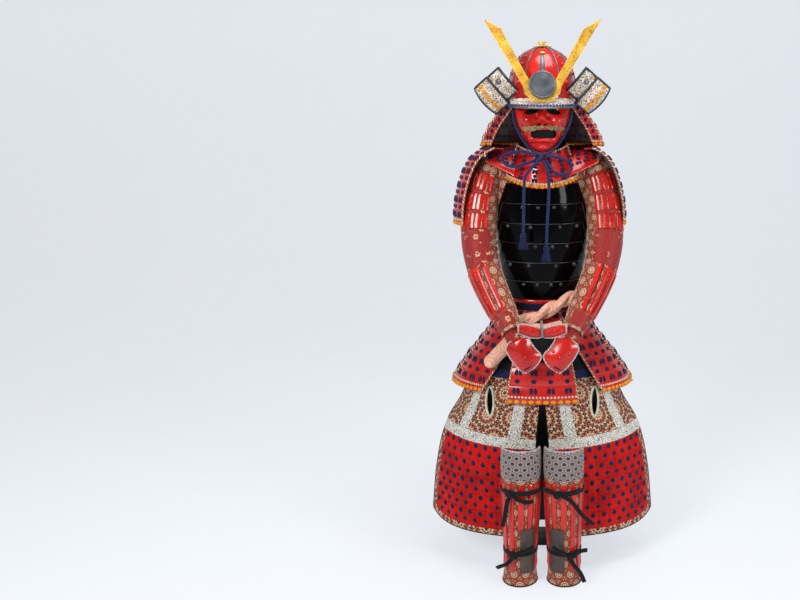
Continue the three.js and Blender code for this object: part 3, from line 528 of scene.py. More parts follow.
def read(table, value):
    """Every column of a table at values of its first column, on a smooth curve through the rows."""
    rows = np.array(table, float)
    if rows[-1, 0] < rows[0, 0]:
        rows = rows[::-1]
    key, last = rows[:, 0], len(rows) - 1
    value = np.clip(np.asarray(value, float), key[0], key[-1])
    i = np.clip(np.searchsorted(key, value, side="right") - 1, 0, last - 1)
    before, after = np.maximum(np.arange(last + 1) - 1, 0), np.minimum(np.arange(last + 1) + 1, last)
    slope = (rows[after] - rows[before]) / (key[after] - key[before])[:, None]
    span = (key[i + 1] - key[i])[..., None]
    t = (value - key[i])[..., None] / span
    found = (
        (2 * t**3 - 3 * t**2 + 1) * rows[i]
        + (t**3 - 2 * t**2 + t) * span * slope[i]
        + (3 * t**2 - 2 * t**3) * rows[i + 1]
        + (t**3 - t**2) * span * slope[i + 1]
    )
    return np.moveaxis(found, -1, 0)[1:]


def lerp(a, b, t):
    return a + (b - a) * t


def rad(angle):
    return np.radians(angle)


def points_of(x, y, z):
    return np.stack(np.broadcast_arrays(x, y, z), axis=-1).astype(float)


def oval(a, b, angle, z, y=0.0):
    return points_of(a * np.sin(angle), y - b * np.cos(angle), z)


def on_oval(table, z, angle, out=0.0):
    a, b = read(table, z)[:2]
    return oval(a + out, b + out, angle, z)


def unit(v):
    return v / np.maximum(np.linalg.norm(v, axis=-1, keepdims=True), 1e-12)


def stance(surface, u, v):
    """The point at u and v, and the ways to the viewer's right, up and out there."""
    e = 1e-3
    right = unit(surface(u + e, v) - surface(u - e, v))
    down = surface(u, v + e) - surface(u, v - e)
    out = unit(np.cross(down, right))
    return surface(u, v), right, np.cross(out, right), out


TORSO = [
    (1300, 104, 108), (1240, 128, 118), (1170, 143.6, 126), (1100, 146.6, 129),
    (1000, 139, 125), (930, 129, 118), (872, 122, 112), (836, 121, 111),
]
SKIRT = [(836, 122, 112), (739, 192, 166), (663, 252, 194), (559, 318, 214)]
THIGH = [(660, 226, 172), (582, 268, 190), (521, 292, 200), (430, 338, 212), (312, 372, 218), (115, 392, 222)]
BOWL = {"a": 106, "b": 118, "foot": 1488, "top": 1648}
NECK = [(1490, 111.4, 123.4, 70), (1452, 138, 144, 75), (1400, 172, 168, 80), (1350, 194, 184, 84)]
FACE = [(1466, 84, 58), (1440, 86, 70), (1412, 80, 78), (1385, 66, 82), (1358, 50, 80), (1338, 34, 70)]
SODE = [
    (0, 138, 1342), (0.12, 170, 1341), (0.28, 212, 1312), (0.45, 238, 1268), (0.64, 256, 1212),
        (0.82, 266, 1158),
    (1, 268, 1104),
]
SLEEVE = [
    (0, 154, -4, 1298, 44), (0.12, 178, -18, 1240, 50), (0.3, 195, -42, 1150, 53), (0.48, 199, -68, 1062, 55),
    (0.63, 185, -103, 983, 52), (0.74, 162, -138, 928, 49), (0.84, 134, -176, 876, 45),
        (0.94, 108, -213, 830, 39),
    (1, 91, -240, 799, 31),
]
HAND = [
    (788, 42, 66), (778, 38, 88), (766, 32, 103), (750, 20, 110), (734, 5, 104), (716, 6, 93), (700, 18, 80),
    (687, 31, 68), (679, 46, 58),
]
THUMB = [(1, 808, 788), (12, 815, 784), (34, 822, 785), (56, 826, 792), (72, 826, 798)]
SHIN = [(450, 60, 57), (350, 60, 55), (220, 55, 52), (90, 48, 47), (0, 55, 54)]
SASH_TURN = [
    (-180, 868), (-120, 846), (-70, 822), (-40, 813), (-22, 813), (-4, 829), (14, 855), (38, 881), (75, 903),
    (120, 900), (180, 868),
]


def bowl(u, v):
    z = lerp(BOWL["foot"], BOWL["top"], np.clip(1 - v, 0, 0.9999))
    share = (1 - np.clip((z - BOWL["foot"]) / 160, 0, 1) ** 2.5) ** (1 / 2.1)
    return oval(BOWL["a"] * share, BOWL["b"] * share, u * 2 * np.pi, z)


def visor(u, v):
    angle = rad(lerp(-64, 64, u))
    return oval(lerp(110.9, 114, v), lerp(122.9, 170, v), angle, 1491 - 22 * v - 8 * v * np.cos(angle) ** 2)


def neck(u, v):
    z = lerp(1490, 1350, v)
    a, b, start = read(NECK, z)
    return oval(a, b, rad(lerp(start, 360 - start, u)), z)


def ear(middle, wide, long):
    along = unit(np.array([-0.66, 0, -0.75]))
    across = unit(np.array([0.72, 0.36, -0.58]))
    out = unit(np.cross(across, along))
    out = -out if out[1] > 0 else out

    def at(u, v):
        s = 2 * np.asarray(v, float)[..., None] - 1
        u = np.asarray(u, float)[..., None]
        return middle + along * (long / 2) * s + across * wide * (u - 0.5) * (1 - 0.12 * s
            * s) - out * 14 * s * s

    return at


def face(u, v):
    z = lerp(1466, 1338, v)
    half, deep = read(FACE, z)
    angle = rad(lerp(-88, 88, u))
    front = np.maximum(np.cos(angle), 0)
    return points_of(half * np.sin(angle), -62 - deep * front**0.85, z - 8 * v * front**2)


def throat(u, v):
    angle = rad(lerp(-72, 72, u))
    front = np.cos(angle) ** 2
    return oval(lerp(80, 119, v), lerp(127, 160, v), angle,
        lerp(lerp(1352, 1329, front), lerp(1252, 1226, front), v))


def shell_top(angle, back):
    width, fall = (50, 0.32) if back else (60, 0.155)
    aside = np.abs(np.sin(angle)) / math.sin(math.radians(width))
    return lerp(1280 if back else 1236, 1112, np.clip((aside - 1) / fall, 0, 1) ** 0.7)


def cuirass(start, end, back):
    def at(u, v):
        angle = rad(lerp(start, end, u))
        return on_oval(TORSO, lerp(shell_top(angle, back), 872, v), angle)

    return at


def shoulder_guard(turn, shift):
    def at(u, v):
        x, z = read(SODE, v)
        dx, dy = x - 225, lerp(-82, 82, u)
        swing = math.radians(turn)
        return points_of(
            225 + dx * np.cos(swing) - dy * np.sin(swing) + shift - 0.0034 * dy * dy,
            -6 + dx * np.sin(swing) + dy * np.cos(swing),
            z,
        )

    return at


def sleeve(u, v):
    t = np.clip(np.asarray(v, float), 0, 1)

    def middle(t):
        return np.moveaxis(np.array(read(SLEEVE, t)[:3]), 0, -1)

    way = unit(middle(np.minimum(t + 0.01, 1)) - middle(np.maximum(t - 0.01, 0)))
    side = unit(np.cross(way, np.array([0.0, 1.0, 0.0])))
    front = unit(np.cross(side, way))
    front = np.where(front[..., 1:2] > 0, -front, front)
    turn = (2 * np.pi * np.asarray(u, float))[..., None]
    r = read(SLEEVE, t)[3][..., None]
    return middle(t) + front * r * np.cos(turn) + side * r * np.sin(turn)


def hand(u, v):
    z = lerp(788, 679, v)
    inner, outer = read(HAND, z)
    bulge = 15 * np.sin(np.pi * np.clip(u, 0, 1)) * np.sin(np.pi * (0.15 + 0.7 * v))
    return points_of(lerp(inner, outer, u), -249.0 - bulge - 12 * v, z)


def thumb(u, v):
    x = lerp(1, 72, u)
    top, foot = read(THUMB, x)
    return points_of(x, -251.5 - 9 * np.sin(np.pi * np.clip(v, 0, 1)), lerp(top, foot, v))


def skirt(top, foot, reach):
    def at(u, v):
        angle = rad(lerp(lerp(top[0], top[1], u), lerp(foot[0], foot[1], u), v))
        return on_oval(SKIRT, lerp(835.7, reach, v), angle)

    return at


def apron(u, v, start=660.0, end=118.0):
    z = lerp(start, end, v)
    a, b = read(THIGH, z)
    parting = lerp(6, 21, np.clip((580 - z) / 150, 0, 1))
    angle = lerp(np.arcsin(parting / a), rad(69), u)
    lift = (430 - np.minimum(z, 430)) / 312 * 42 * np.clip(u, 0, 1) ** 5
    tilt = 26 * np.sin(np.pi * np.clip((560 - z) / 240, 0, 1)) * u**2
    return oval(a, b, angle, z + lift + tilt)


def shin(start, end, reach=112.0):
    def at(u, v):
        z = lerp(start, end, v)
        a, b = read(SHIN, z)
        splay = 66 + 4 * np.maximum(1 - z / 300, 0)
        return oval(a, b, rad(lerp(-reach, reach, u)), z, -266) + points_of(splay, 0, 0)

    return at


def moved(surface, distance):
    def at(u, v):
        point, _, _, out = stance(surface, u, v)
        return point + out * distance

    return at


def part_of(surface, u0, u1, v0, v1):
    """A smaller field of a surface as a surface of its own."""
    return lambda u, v: surface(lerp(u0, u1, u), lerp(v0, v1, v))


def mirrored(surface):
    """The same surface on the other side of the suit, still with u to the viewer's right."""

    def at(u, v):
        return surface(1 - np.asarray(u, float), v) * np.array([-1.0, 1, 1])

    return at


# Modelling tools


def keep(obj, name, stuff, nodes=(), smooth=50):
    """Names, paints and hangs a finished piece on the suit's one body."""
    obj.name = f"{name}_finished" if name in NODES else name
    obj.data.name = obj.name
    paint_with(obj, stuff)
    deselect()
    obj.select_set(True)
    bpy.context.view_layer.objects.active = obj
    if smooth:
        bpy.ops.object.shade_smooth_by_angle(angle=math.radians(smooth))
    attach(obj, "root")
    if nodes:
        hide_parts(*nodes)
    return obj


def as_object(points, faces, uv=None):
    mesh = bpy.data.meshes.new("piece")
    mesh.from_pydata((np.asarray(points, float) * MM).tolist(), [], faces)
    if uv is not None:
        layer = mesh.uv_layers.new(name="map")
        corner = np.zeros(len(mesh.loops), np.int32)
        mesh.loops.foreach_get("vertex_index", corner)
        layer.data.foreach_set("uv", np.asarray(uv, np.float32)[corner].ravel())
    obj = bpy.data.objects.new("piece", mesh)
    bpy.context.scene.collection.objects.link(obj)
    return obj


def apply_all(obj):
    deselect()
    obj.select_set(True)
    bpy.context.view_layer.objects.active = obj
    for modifier in list(obj.modifiers):
        bpy.ops.object.modifier_apply(modifier=modifier.name)


def grid_on(surface, columns, rows, raise_by=None, closed=False):
    """A grid laid on a surface, with a map in metres along and across it."""
    deselect()
    bpy.ops.mesh.primitive_grid_add(x_subdivisions=columns, y_subdivisions=rows, size=1, location=(0, 0, 0))
    obj = bpy.context.object
    flat = np.array([v.co[:2] for v in obj.data.vertices])
    u, v = flat[:, 0] + 0.5, 0.5 - flat[:, 1]
    point, _, _, out = stance(surface, u, v)
    if raise_by is not None:
        point = point + out * raise_by(u, v, point)[:, None]
    obj.data.vertices.foreach_set("co", (point * MM).ravel())
    wide, tall = flat_size(surface)
    corner = np.zeros(len(obj.data.loops), np.int32)
    obj.data.loops.foreach_get("vertex_index", corner)
    uv = np.stack([(u - 0.5) * wide, -v * tall], axis=-1)[corner]
    layer = obj.data.uv_layers.active or obj.data.uv_layers.new(name="map")
    layer.data.foreach_set("uv", uv.astype(np.float32).ravel())
    if closed:
        deselect()
        obj.select_set(True)
        bpy.ops.object.mode_set(mode="EDIT")
        bpy.ops.mesh.select_all(action="SELECT")
        bpy.ops.mesh.remove_doubles(threshold=1e-5)
        bpy.ops.mesh.normals_make_consistent(inside=False)
        bpy.ops.object.mode_set(mode="OBJECT")
    return obj


def flat_size(surface, count=24):
    """Mean width and length of a surface, in metres."""
    u, v = np.meshgrid(np.linspace(0, 1, count), np.linspace(0, 1, count))
    p = surface(u, v)
    wide = np.linalg.norm(np.diff(p, axis=1), axis=-1).sum(axis=1).mean()
    tall = np.linalg.norm(np.diff(p, axis=0), axis=-1).sum(axis=0).mean()
    return wide * MM, tall * MM


def flat_cut(surface, count=40):
    """The rectangle that a surface's flat cut fits in, and the cut's area."""
    u, v = np.meshgrid(np.linspace(0, 1, count), np.linspace(0, 1, count))
    p = surface(u, v) * MM
    du, dv = np.diff(p, axis=1)[:-1], np.diff(p, axis=0)[:, :-1]
    area = np.linalg.norm(np.cross(du, dv), axis=-1).sum()
    wide = np.linalg.norm(np.diff(p, axis=1), axis=-1).sum(axis=1).max()
    tall = np.linalg.norm(np.diff(p, axis=0), axis=-1).sum(axis=0).max()
    return (float(wide), float(tall)), float(area)


def thicken(obj, thick, offset=-1.0, bevel=0.0, segments=1):
    """Gives a grid its wall, and rounds the wall's edges."""
    wall = obj.modifiers.new("wall", "SOLIDIFY")
    wall.thickness = thick * MM
    wall.offset = offset
    if bevel:
        edge = obj.modifiers.new("edge", "BEVEL")
        edge.width = bevel * MM
        edge.segments = segments
        edge.limit_method = "ANGLE"
        edge.angle_limit = math.radians(50)
    apply_all(obj)
    return obj


def pattern_piece(obj):
    """The arrays of a piece that is modelled once and copied many times."""
    points = np.array([v.co for v in obj.data.vertices])
    faces = [tuple(p.vertices) for p in obj.data.polygons]
    bpy.data.objects.remove(obj, do_unlink=True)
    return points, faces


def make_plate(columns, rows, edge, side=0.004):
    """A flat plate one unit wide, tall and high with a sloping upper rim, cut up so that it can bend."""
    deselect()
    bpy.ops.mesh.primitive_grid_add(x_subdivisions=columns, y_subdivisions=rows, size=1,
        location=(0.5, 0.5, 0))
    obj = bpy.context.object
    bpy.ops.object.mode_set(mode="EDIT")
    bpy.ops.mesh.select_all(action="SELECT")
    bpy.ops.mesh.extrude_region_move(TRANSFORM_OT_translate={"value": (0, 0, 1)})
    bpy.ops.mesh.select_all(action="SELECT")
    bpy.ops.mesh.normals_make_consistent(inside=False)
    bpy.ops.object.mode_set(mode="OBJECT")
    points, faces = pattern_piece(obj)
    points = points + np.array([0.5, 0.5, 0])
    x, y, z = points.T
    rim = (np.minimum(x, 1 - x) < 1e-4) | (np.minimum(y, 1 - y) < 1e-4)
    z = np.where(rim & (z > 0.5), 0.4, z)
    for line, count, near in ((x, columns, side), (y, rows, edge)):
        line[np.abs(line - 1 / count) < 1e-4] = near
        line[np.abs(line - 1 + 1 / count) < 1e-4] = 1 - near
    return np.stack([x, y, z], axis=-1), faces


def make_bar(columns, rows):
    """A splint one unit wide, tall and high, rounded across and at both ends."""
    points, faces = make_plate(columns, rows, 0.04, 0.08)
    x, y, z = points.T
    round_x = np.clip(1 - np.abs(2 * x - 1) ** 3, 0, 1) ** 0.5
    round_y = np.clip(1 - np.abs(2 * y - 1) ** 16, 0, 1) ** 0.5
    return np.stack([x, y, z * (0.25 + 0.75 * round_x * round_y)], axis=-1), faces


def make_pad(edge=0.28, segments=1):
    """A small cushion of silk one unit wide, tall and high."""
    deselect()
    bpy.ops.mesh.primitive_cube_add(size=1, location=(0, 0, 0))
    obj = bpy.context.object
    bpy.ops.object.mode_set(mode="EDIT")
    bpy.ops.mesh.select_all(action="SELECT")
    bpy.ops.mesh.bevel(offset=edge, segments=segments, affect="EDGES")
    bpy.ops.object.mode_set(mode="OBJECT")
    points, faces = pattern_piece(obj)
    return points + np.array([0, 0, 0.5]), faces


def make_dome(sides=10, rings=6):
    """A round head one unit across, standing half a unit high."""
    deselect()
    bpy.ops.mesh.primitive_uv_sphere_add(segments=sides, ring_count=rings, radius=0.5, location=(0, 0, 0))
    obj = bpy.context.object
    points, faces = pattern_piece(obj)
    points[:, 2] = np.maximum(points[:, 2], -0.08)
    return points, faces


def copies(points, faces):
    """One mesh from many placed copies of a pattern piece."""
    count, each = points.shape[0], points.shape[1]
    every = [tuple(i + k * each for i in f) for k in range(count) for f in faces]
    return as_object(points.reshape(-1, 3), every)


def bent_on(surface, piece, spans):
    """Copies bent onto a surface. A span is u0, u1, v0, v1, lift at its top, lift at its foot, height."""
    points, faces = piece
    s = np.array(spans, float)[:, :, None]
    x, y, z = points.T[:, None, :]
    u = s[:, 0] + (s[:, 1] - s[:, 0]) * x
    v = s[:, 3] + (s[:, 2] - s[:, 3]) * y
    lift = s[:, 5] + (s[:, 4] - s[:, 5]) * y + s[:, 6] * z
    base, _, _, out = stance(surface, u, v)
    return copies(base + out * lift[..., None], faces)


def set_on(surface, piece, places):
    """Copies set on a surface. A place is u, v, width, tallness, height, lift and turn in degrees."""
    points, faces = piece
    s = np.array(places, float)
    base, right, up, out = stance(surface, s[:, 0], s[:, 1])
    turn = np.radians(s[:, 6])[:, None]
    x, y, z = points.T[:, None, :]
    x, y, z = x * s[:, 2:3], y * s[:, 3:4], s[:, 5:6] + z * s[:, 4:5]
    x, y = x * np.cos(turn) - y * np.sin(turn), x * np.sin(turn) + y * np.cos(turn)
    placed = base[:, None] + right[:, None] * x[..., None] + up[:, None] * y[..., None] + out[:,
        None] * z[..., None]
    return copies(placed, faces)


def smooth_path(points, count, closed=False):
    """Evenly spaced points on a smooth curve through a few."""
    p = np.array(points, float)
    if closed:
        p = np.vstack([p[-2:], p, p[:3]])
    gone = np.concatenate([[0], np.cumsum(np.linalg.norm(np.diff(p, axis=0), axis=1))])
    table = np.column_stack([gone, p])
    start, end = (gone[2], gone[-3]) if closed else (0, gone[-1])
    fine = np.linspace(start, end, 400)
    line = np.moveaxis(np.array(read(table, fine)), 0, -1)
    run = np.concatenate([[0], np.cumsum(np.linalg.norm(np.diff(line, axis=0), axis=1))])
    even = np.linspace(0, run[-1], count + 1)
    if closed:
        even = even[:-1]
    return np.stack([np.interp(even, run, line[:, k]) for k in range(3)], axis=-1)


def roll(path, radius, sides, closed=False, relief=None, flat=1.0, facing=None, girth=1.0):
    """A round or flattened roll along a path, with a map that is girth wide round it and in metres along it.
    The operators' own curves give such a roll no map in metres, so its rings are worked out here."""
    path = np.asarray(path, float)
    count = len(path)
    ahead = np.roll(path, -1, axis=0) - np.roll(path, 1, axis=0)
    if not closed:
        ahead[0], ahead[-1] = path[1] - path[0], path[-1] - path[-2]
    ahead = unit(ahead)
    normal = np.cross(ahead[0], [0.0, 0.0, 1.0]) if facing is None else np.array(facing, float)
    if np.linalg.norm(normal) < 1e-3:
        normal = np.array([1.0, 0, 0])
    normals = []
    for way in ahead:
        normal = normal - way * np.dot(normal, way)
        normal = normal / np.linalg.norm(normal)
        normals.append(normal)
    normals = np.array(normals)
    if closed:
        last = np.cross(ahead, normals)
        drift = math.atan2(float(np.dot(normals[-1], last[0])), float(np.dot(normals[-1], normals[0])))
        turn = -drift * np.arange(count)[:, None] / count
        normals = normals * np.cos(turn) + last * np.sin(turn)
    binormals = np.cross(ahead, normals)
    run = np.concatenate([[0], np.cumsum(np.linalg.norm(np.diff(path, axis=0), axis=1))])
    angle = np.linspace(0, 2 * np.pi, sides + 1)
    radius = np.broadcast_to(np.asarray(radius, float), (count,))
    size = radius[:, None] * np.ones(sides + 1)
    if relief is not None:
        size = size * relief(angle[None, :] / (2 * np.pi), run[:, None])
    rings = (
        path[:, None]
        + normals[:, None] * (size * np.cos(angle))[..., None]
        + binormals[:, None] * (size * np.sin(angle) * flat)[..., None]
    )
    steps = count if closed else count - 1
    uv = np.stack(np.broadcast_arrays(angle[None, :] / (2 * np.pi) * girth, run[:, None] * MM), axis=-1)
    points, uv = rings.reshape(-1, 3), uv.reshape(-1, 2)
    wide = sides + 1
    faces = []
    for i in range(steps):
        j = (i + 1) % count
        faces += [(i * wide + k, i * wide + k + 1, j * wide + k + 1, j * wide + k) for k in range(sides)]
    if not closed:
        for ring, flip in ((0, True), (count - 1, False)):
            cap = [ring * wide + k for k in range(sides)]
            faces.append(tuple(cap[::-1] if flip else cap))
    return merged(as_object(points, faces, uv))


def merged(obj):
    """Joins the points of a mesh that lie on each other and turns its faces outwards."""
    deselect()
    obj.select_set(True)
    bpy.context.view_layer.objects.active = obj
    bpy.ops.object.mode_set(mode="EDIT")
    bpy.ops.mesh.select_mode(type="VERT")
    bpy.ops.mesh.select_all(action="SELECT")
    bpy.ops.mesh.remove_doubles(threshold=2e-6)
    bpy.ops.mesh.normals_make_consistent(inside=False)
    bpy.ops.object.mode_set(mode="OBJECT")
    return obj


def line_on(surface, us, vs, lift, count):
    """A path that runs over a surface through values of u and v."""
    base, _, _, out = stance(surface, np.asarray(us, float), np.asarray(vs, float))
    return smooth_path(base + out * lift, count)


def joined(objects):
    deselect()
    for obj in objects:
        obj.select_set(True)
    bpy.context.view_layer.objects.active = objects[0]
    bpy.ops.object.join()
    return bpy.context.object


PLATE = make_plate(12, 4, 0.05)
SMALL_PLATE = make_plate(3, 3, 0.06, 0.08)
BAR = make_bar(5, 6)
PAD = make_pad()
DOME = make_dome()

# Chin cord first: its two sides, knot, loops and hanging ends

CORD = 9.5
KNOT = (-4, -166, 1318)


def braided(path, diameter=CORD):
    def relief(round_it, along):
        a = np.abs(((along / 11 + round_it * 3) % 1) - 0.5)
        b = np.abs(((along / 11 - round_it * 3) % 1) - 0.5)
        return 0.86 + 0.28 * np.maximum(a, b)

    return roll(path, diameter / 2, 18, relief=relief)


def on_guard(x, z):
    """A point of a loop that leaves the knot and comes to lie on the throat guard."""
    lying = -4 - math.sqrt(max(1 - (x / 150) ** 2, 0.1)) * (lerp(140, 166, (1330 - z) / 100) + 9)
    near = min(max((60 - abs(x)) / 40, 0), 1)
    return (x, lerp(lying, min(-171, lying), near * near * (3 - 2 * near)), z)


def tassel(name, x, y, z, node):
    """A bound head with its strands hanging from it."""
    draw = random.Random(int(z))
    parts = [roll([(x, y, z - 0.5), (x, y, z - 3), (x, y, z - 8), (x, y, z - 12)], [7, 8.6, 9.2, 8.2], 16)]
    for k in range(64):
        turn = 2 * math.pi * k / 64 + draw.uniform(-0.05, 0.05)
        ring = 1.0 if k % 2 else 0.7
        foot = ring * draw.uniform(13.2, 15.5)
        path = [
            (x + ring * r * math.cos(turn + s), y + ring * r * math.sin(turn + s), z - h)
            for r, h, s in ((7.2, 10, 0), (9.0, 20, 0.05), (12.0, 34, 0.08))
        ]
        path.append((x + foot * math.cos(turn + 0.1), y + foot * math.sin(turn + 0.1),
            z - draw.uniform(46, 49.5)))
        parts.append(roll(path, [1.1, 1.2, 1.15, 0.8], 4))
    for h in (9, 11.5):
        ring = [(x + 9.4 * math.cos(a), y + 9.4 * math.sin(a), z - h)
            for a in np.linspace(0, 2 * np.pi, 16)[:-1]]
        parts.append(roll(ring, 1.2, 6, closed=True))
    return keep(joined(parts), name, NAVY, [node])


def make_cords():
    jaw = moved(face, CORD / 2 + 1.8)
    uv = [(0.93, 0.1), (0.9, 0.32), (0.88, 0.55), (0.84, 0.8), (0.75, 0.93)]
    down = [tuple(jaw(np.array(u), np.array(v))) for u, v in uv] + [(14, -156, 1325), (0, -163, 1319)]
    for way, side in ((1, "right"), (-1, "left")):
        path = smooth_path([(x * way, y, z) for x, y, z in down], 60)
        piece = keep(braided(path), f"chin_cord_{side}", CORD_SILK)
    turns = []
    for tilt, size in ((0.5, 11.5), (-0.5, 11.0)):
        ring = []
        for a in np.linspace(0, 2 * np.pi, 13)[:-1]:
            x, y, z = 5.5 * math.sin(a), size * 0.62 * math.cos(a), size * math.sin(a) * 0.9
            ring.append((KNOT[0] + x + z * tilt, KNOT[1] - 0.5 + y, KNOT[2] + z))
        turns.append(roll(smooth_path(ring, 40, True), 4.6, 12, closed=True))
    knot = keep(joined(turns), "chin_knot", CORD_SILK)
    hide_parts("chin_cord")
    loops = {
        "left": [(-19, 1322), (-50, 1334), (-86, 1331), (-113, 1324), (-124, 1311), (-112, 1295),
            (-86, 1289), (-55, 1297), (-20, 1310)],
        "right": [(11, 1322), (40, 1319), (70, 1308), (86, 1296), (88, 1282), (76, 1268), (54, 1265),
            (32, 1277), (11, 1308)],
    }
    for side, points in loops.items():
        path = smooth_path([on_guard(x, z) for x, z in points], 90)
        piece = keep(braided(path), f"cord_loop_{side}", CORD_SILK, [f"cord_loop_{side}"])
    ends = {
        "left": [(-11.4, -171.3, 1307), (-30, -181, 1290), (-50, -186, 1262), (-55, -186, 1220),
            (-56, -184, 1160), (-58, -182, 1092)],
        "right": [(2, -172.5, 1305.5), (13, -181, 1286), (19, -186, 1250), (19, -186, 1200),
            (15, -184, 1130), (12, -182, 1052)],
    }
    for side, points in ends.items():
        path = smooth_path(points, 90)
        piece = keep(braided(path), f"cord_end_{side}", CORD_SILK, [f"cord_end_{side}"])
        tuft = tassel(f"tassel_{side}", *points[-1], f"tassel_{side}")


# Laced panels: lames with their lacing, beads and edging


def laced(name, surface, nodes, lames, columns, proud=3.0, start=0.0, beads=0, pad=(10, 19), singles=15,
        wide_plate=PLATE):
    """Red lames laid like tiles, tall stitches in pairs, single stitches, and beads along the foot."""
    size = (1 - start) / lames
    _, tall = flat_size(part_of(surface, 0, 1, start, 1))
    lame_mm = tall / MM / lames
    spans = []
    if start:
        spans.append((0, 1, 0, start + 0.01, -1.6, -1.6, 2.0))
    for i in range(lames):
        v0 = start + i * size
        spans.append((0, 1, v0, min(v0 + size * 1.03, 1), proud - 1.9, -1.9, 2.4))
    keep(bent_on(surface, wide_plate, spans), name, RED, nodes, smooth=35)
    tall_places, dot_places, bead_places, dash_places = [], [], [], []
    wide = flat_size(part_of(surface, 0, 1, start + 0.5 * (1 - start), 1))[0] / MM
    gap = (pad[0] * 0.62) / wide

    def lift_at(share):
        return (proud + 0.5) * (1 - share) + 0.5 * share

    for i in range(lames):
        v0 = start + i * size
        for c in range(columns):
            u = (c + 0.5) / columns
            for side in (-1, 1):
                tall_places.append((u + side * gap, v0 + size * 0.24, pad[0], min(pad[1], lame_mm * 0.46),
                    3.2,
                                    lift_at(0.24) - 0.7, side * 5))
            if i < lames - 1:
                dot_places.append((u, v0 + size * 0.72, singles, min(13, lame_mm * 0.3), 3.0,
                    lift_at(0.72) - 0.7, 0))
    if beads:
        for b in range(beads):
            u = (b + 0.5) / beads
            bead_places.append((u, 1 - size * 0.13, wide / beads * 0.92, 13, 10, 0.2, 0))
        for b in range(beads * 2):
            u = (b + 0.5) / (beads * 2)
            dash_places.append((u, 1 - size * 0.40, wide / beads * 0.34, 6.5, 3.0, 0.8, 38 if b % 2 else -38))
    keep(set_on(surface, PAD, tall_places + dot_places), f"{name}_lacing", NAVY)
    if bead_places:
        keep(set_on(surface, DOME, bead_places), f"{name}_beads", YELLOW)
    if dash_places:
        keep(set_on(surface, PAD, dash_places), f"{name}_dashes", CREAM)
    rows = np.linspace(start, 1, 9)
    sides_made = [roll(line_on(surface, np.full(9, u), rows, 1.4, 60), 3.0, 8) for u in (0.0, 1.0)]
    keep(joined(sides_made), f"{name}_edging", EDGING)


SKIRT_PANELS = {
    "front": ((-24.5, 24.5), (-21, 21), 560, 4, 10),
    "fore_right": ((25.8, 75), (40, 79), 585, 4, 10),
    "side_right": ((76.3, 126), (82, 123), 590, 4, 10),
    "back_right": ((127.3, 179.3), (128, 177), 592, 5, 12),
    "fore_left": ((-75, -25.8), (-79, -40), 585, 4, 10),
    "side_left": ((-126, -76.3), (-123, -82), 590, 4, 10),
    "back_left": ((-179.3, -127.3), (-177, -128), 592, 5, 12),
}


def make_skirt():
    for name, (top, foot, reach, columns, beads) in SKIRT_PANELS.items():
        laced(f"skirt_{name}", skirt(top, foot, reach), [f"skirt_{name}"], 5, columns, beads=beads)

    def yoke(u, v):
        """The dark cloth of the thigh guards that shows between the panels, up to the waist."""
        z = lerp(800, 658, v)
        a, b = read(SKIRT, z)
        return oval(a - 12, b - 12, (u - 0.5) * 2 * np.pi, z)

    keep(thicken(grid_on(yoke, 80, 12, closed=True), 1.6), "thigh_cloth_yoke", COTTON)


def make_shoulder_guards():
    for side, surface in (("right", shoulder_guard(12, -6.2)), ("left", mirrored(shoulder_guard(-8, 14.6)))):
        laced(f"shoulder_guard_{side}", surface, [f"shoulder_guard_{side}"], 6, 5, start=0.1, beads=12)
        inner_sheet = grid_on(moved(surface, -2.6), 10, 20)
        keep(thicken(inner_sheet, 0.5), f"shoulder_guard_{side}_lining", BROWN_LEATHER)


def shoulder_pad(u, v):
    """A laced pad over the shoulder, from its back over its top to the front of the cuirass."""
    fall = np.clip((v - 0.42) / 0.58, 0, 1) ** 1.7
    front = lerp(-108, -62, u**1.3)
    return points_of(lerp(52, 174, u), lerp(60, front, v),
        1327 + 5 * u + 18 * (1 - v) ** 3 - (82 - 50 * u) * fall)


def gusset(u, v):
    """Sleeve cloth between the sleeve and the cuirass, under the shoulder."""
    return points_of(lerp(100, 143, u), -50 + 6 * u, lerp(1300, 1112, v))


def make_throat_guard():
    for side, way in (("right", lambda surface: surface), ("left", mirrored)):
        laced(f"shoulder_pad_{side}", way(shoulder_pad), (), 5, 5, pad=(8, 13), singles=11)
        keep(thicken(grid_on(way(gusset), 12, 24), 1.4), f"sleeve_gusset_{side}", SLEEVE_SILK)
    laced("throat_guard", throat, ["throat_guard"], 4, 6, beads=19, pad=(8, 13), singles=12)
    rim = roll(line_on(throat, np.linspace(0, 1, 15), np.full(15, 0.998), 0.5, 90), 2.6, 8)
    keep(rim, "throat_guard_rim", RED)
    collar = roll(line_on(throat, np.linspace(0, 1, 15), np.full(15, 0.0), 2.0, 90), 3.0, 8)
    keep(collar, "throat_guard_collar", EDGING)


# Helmet


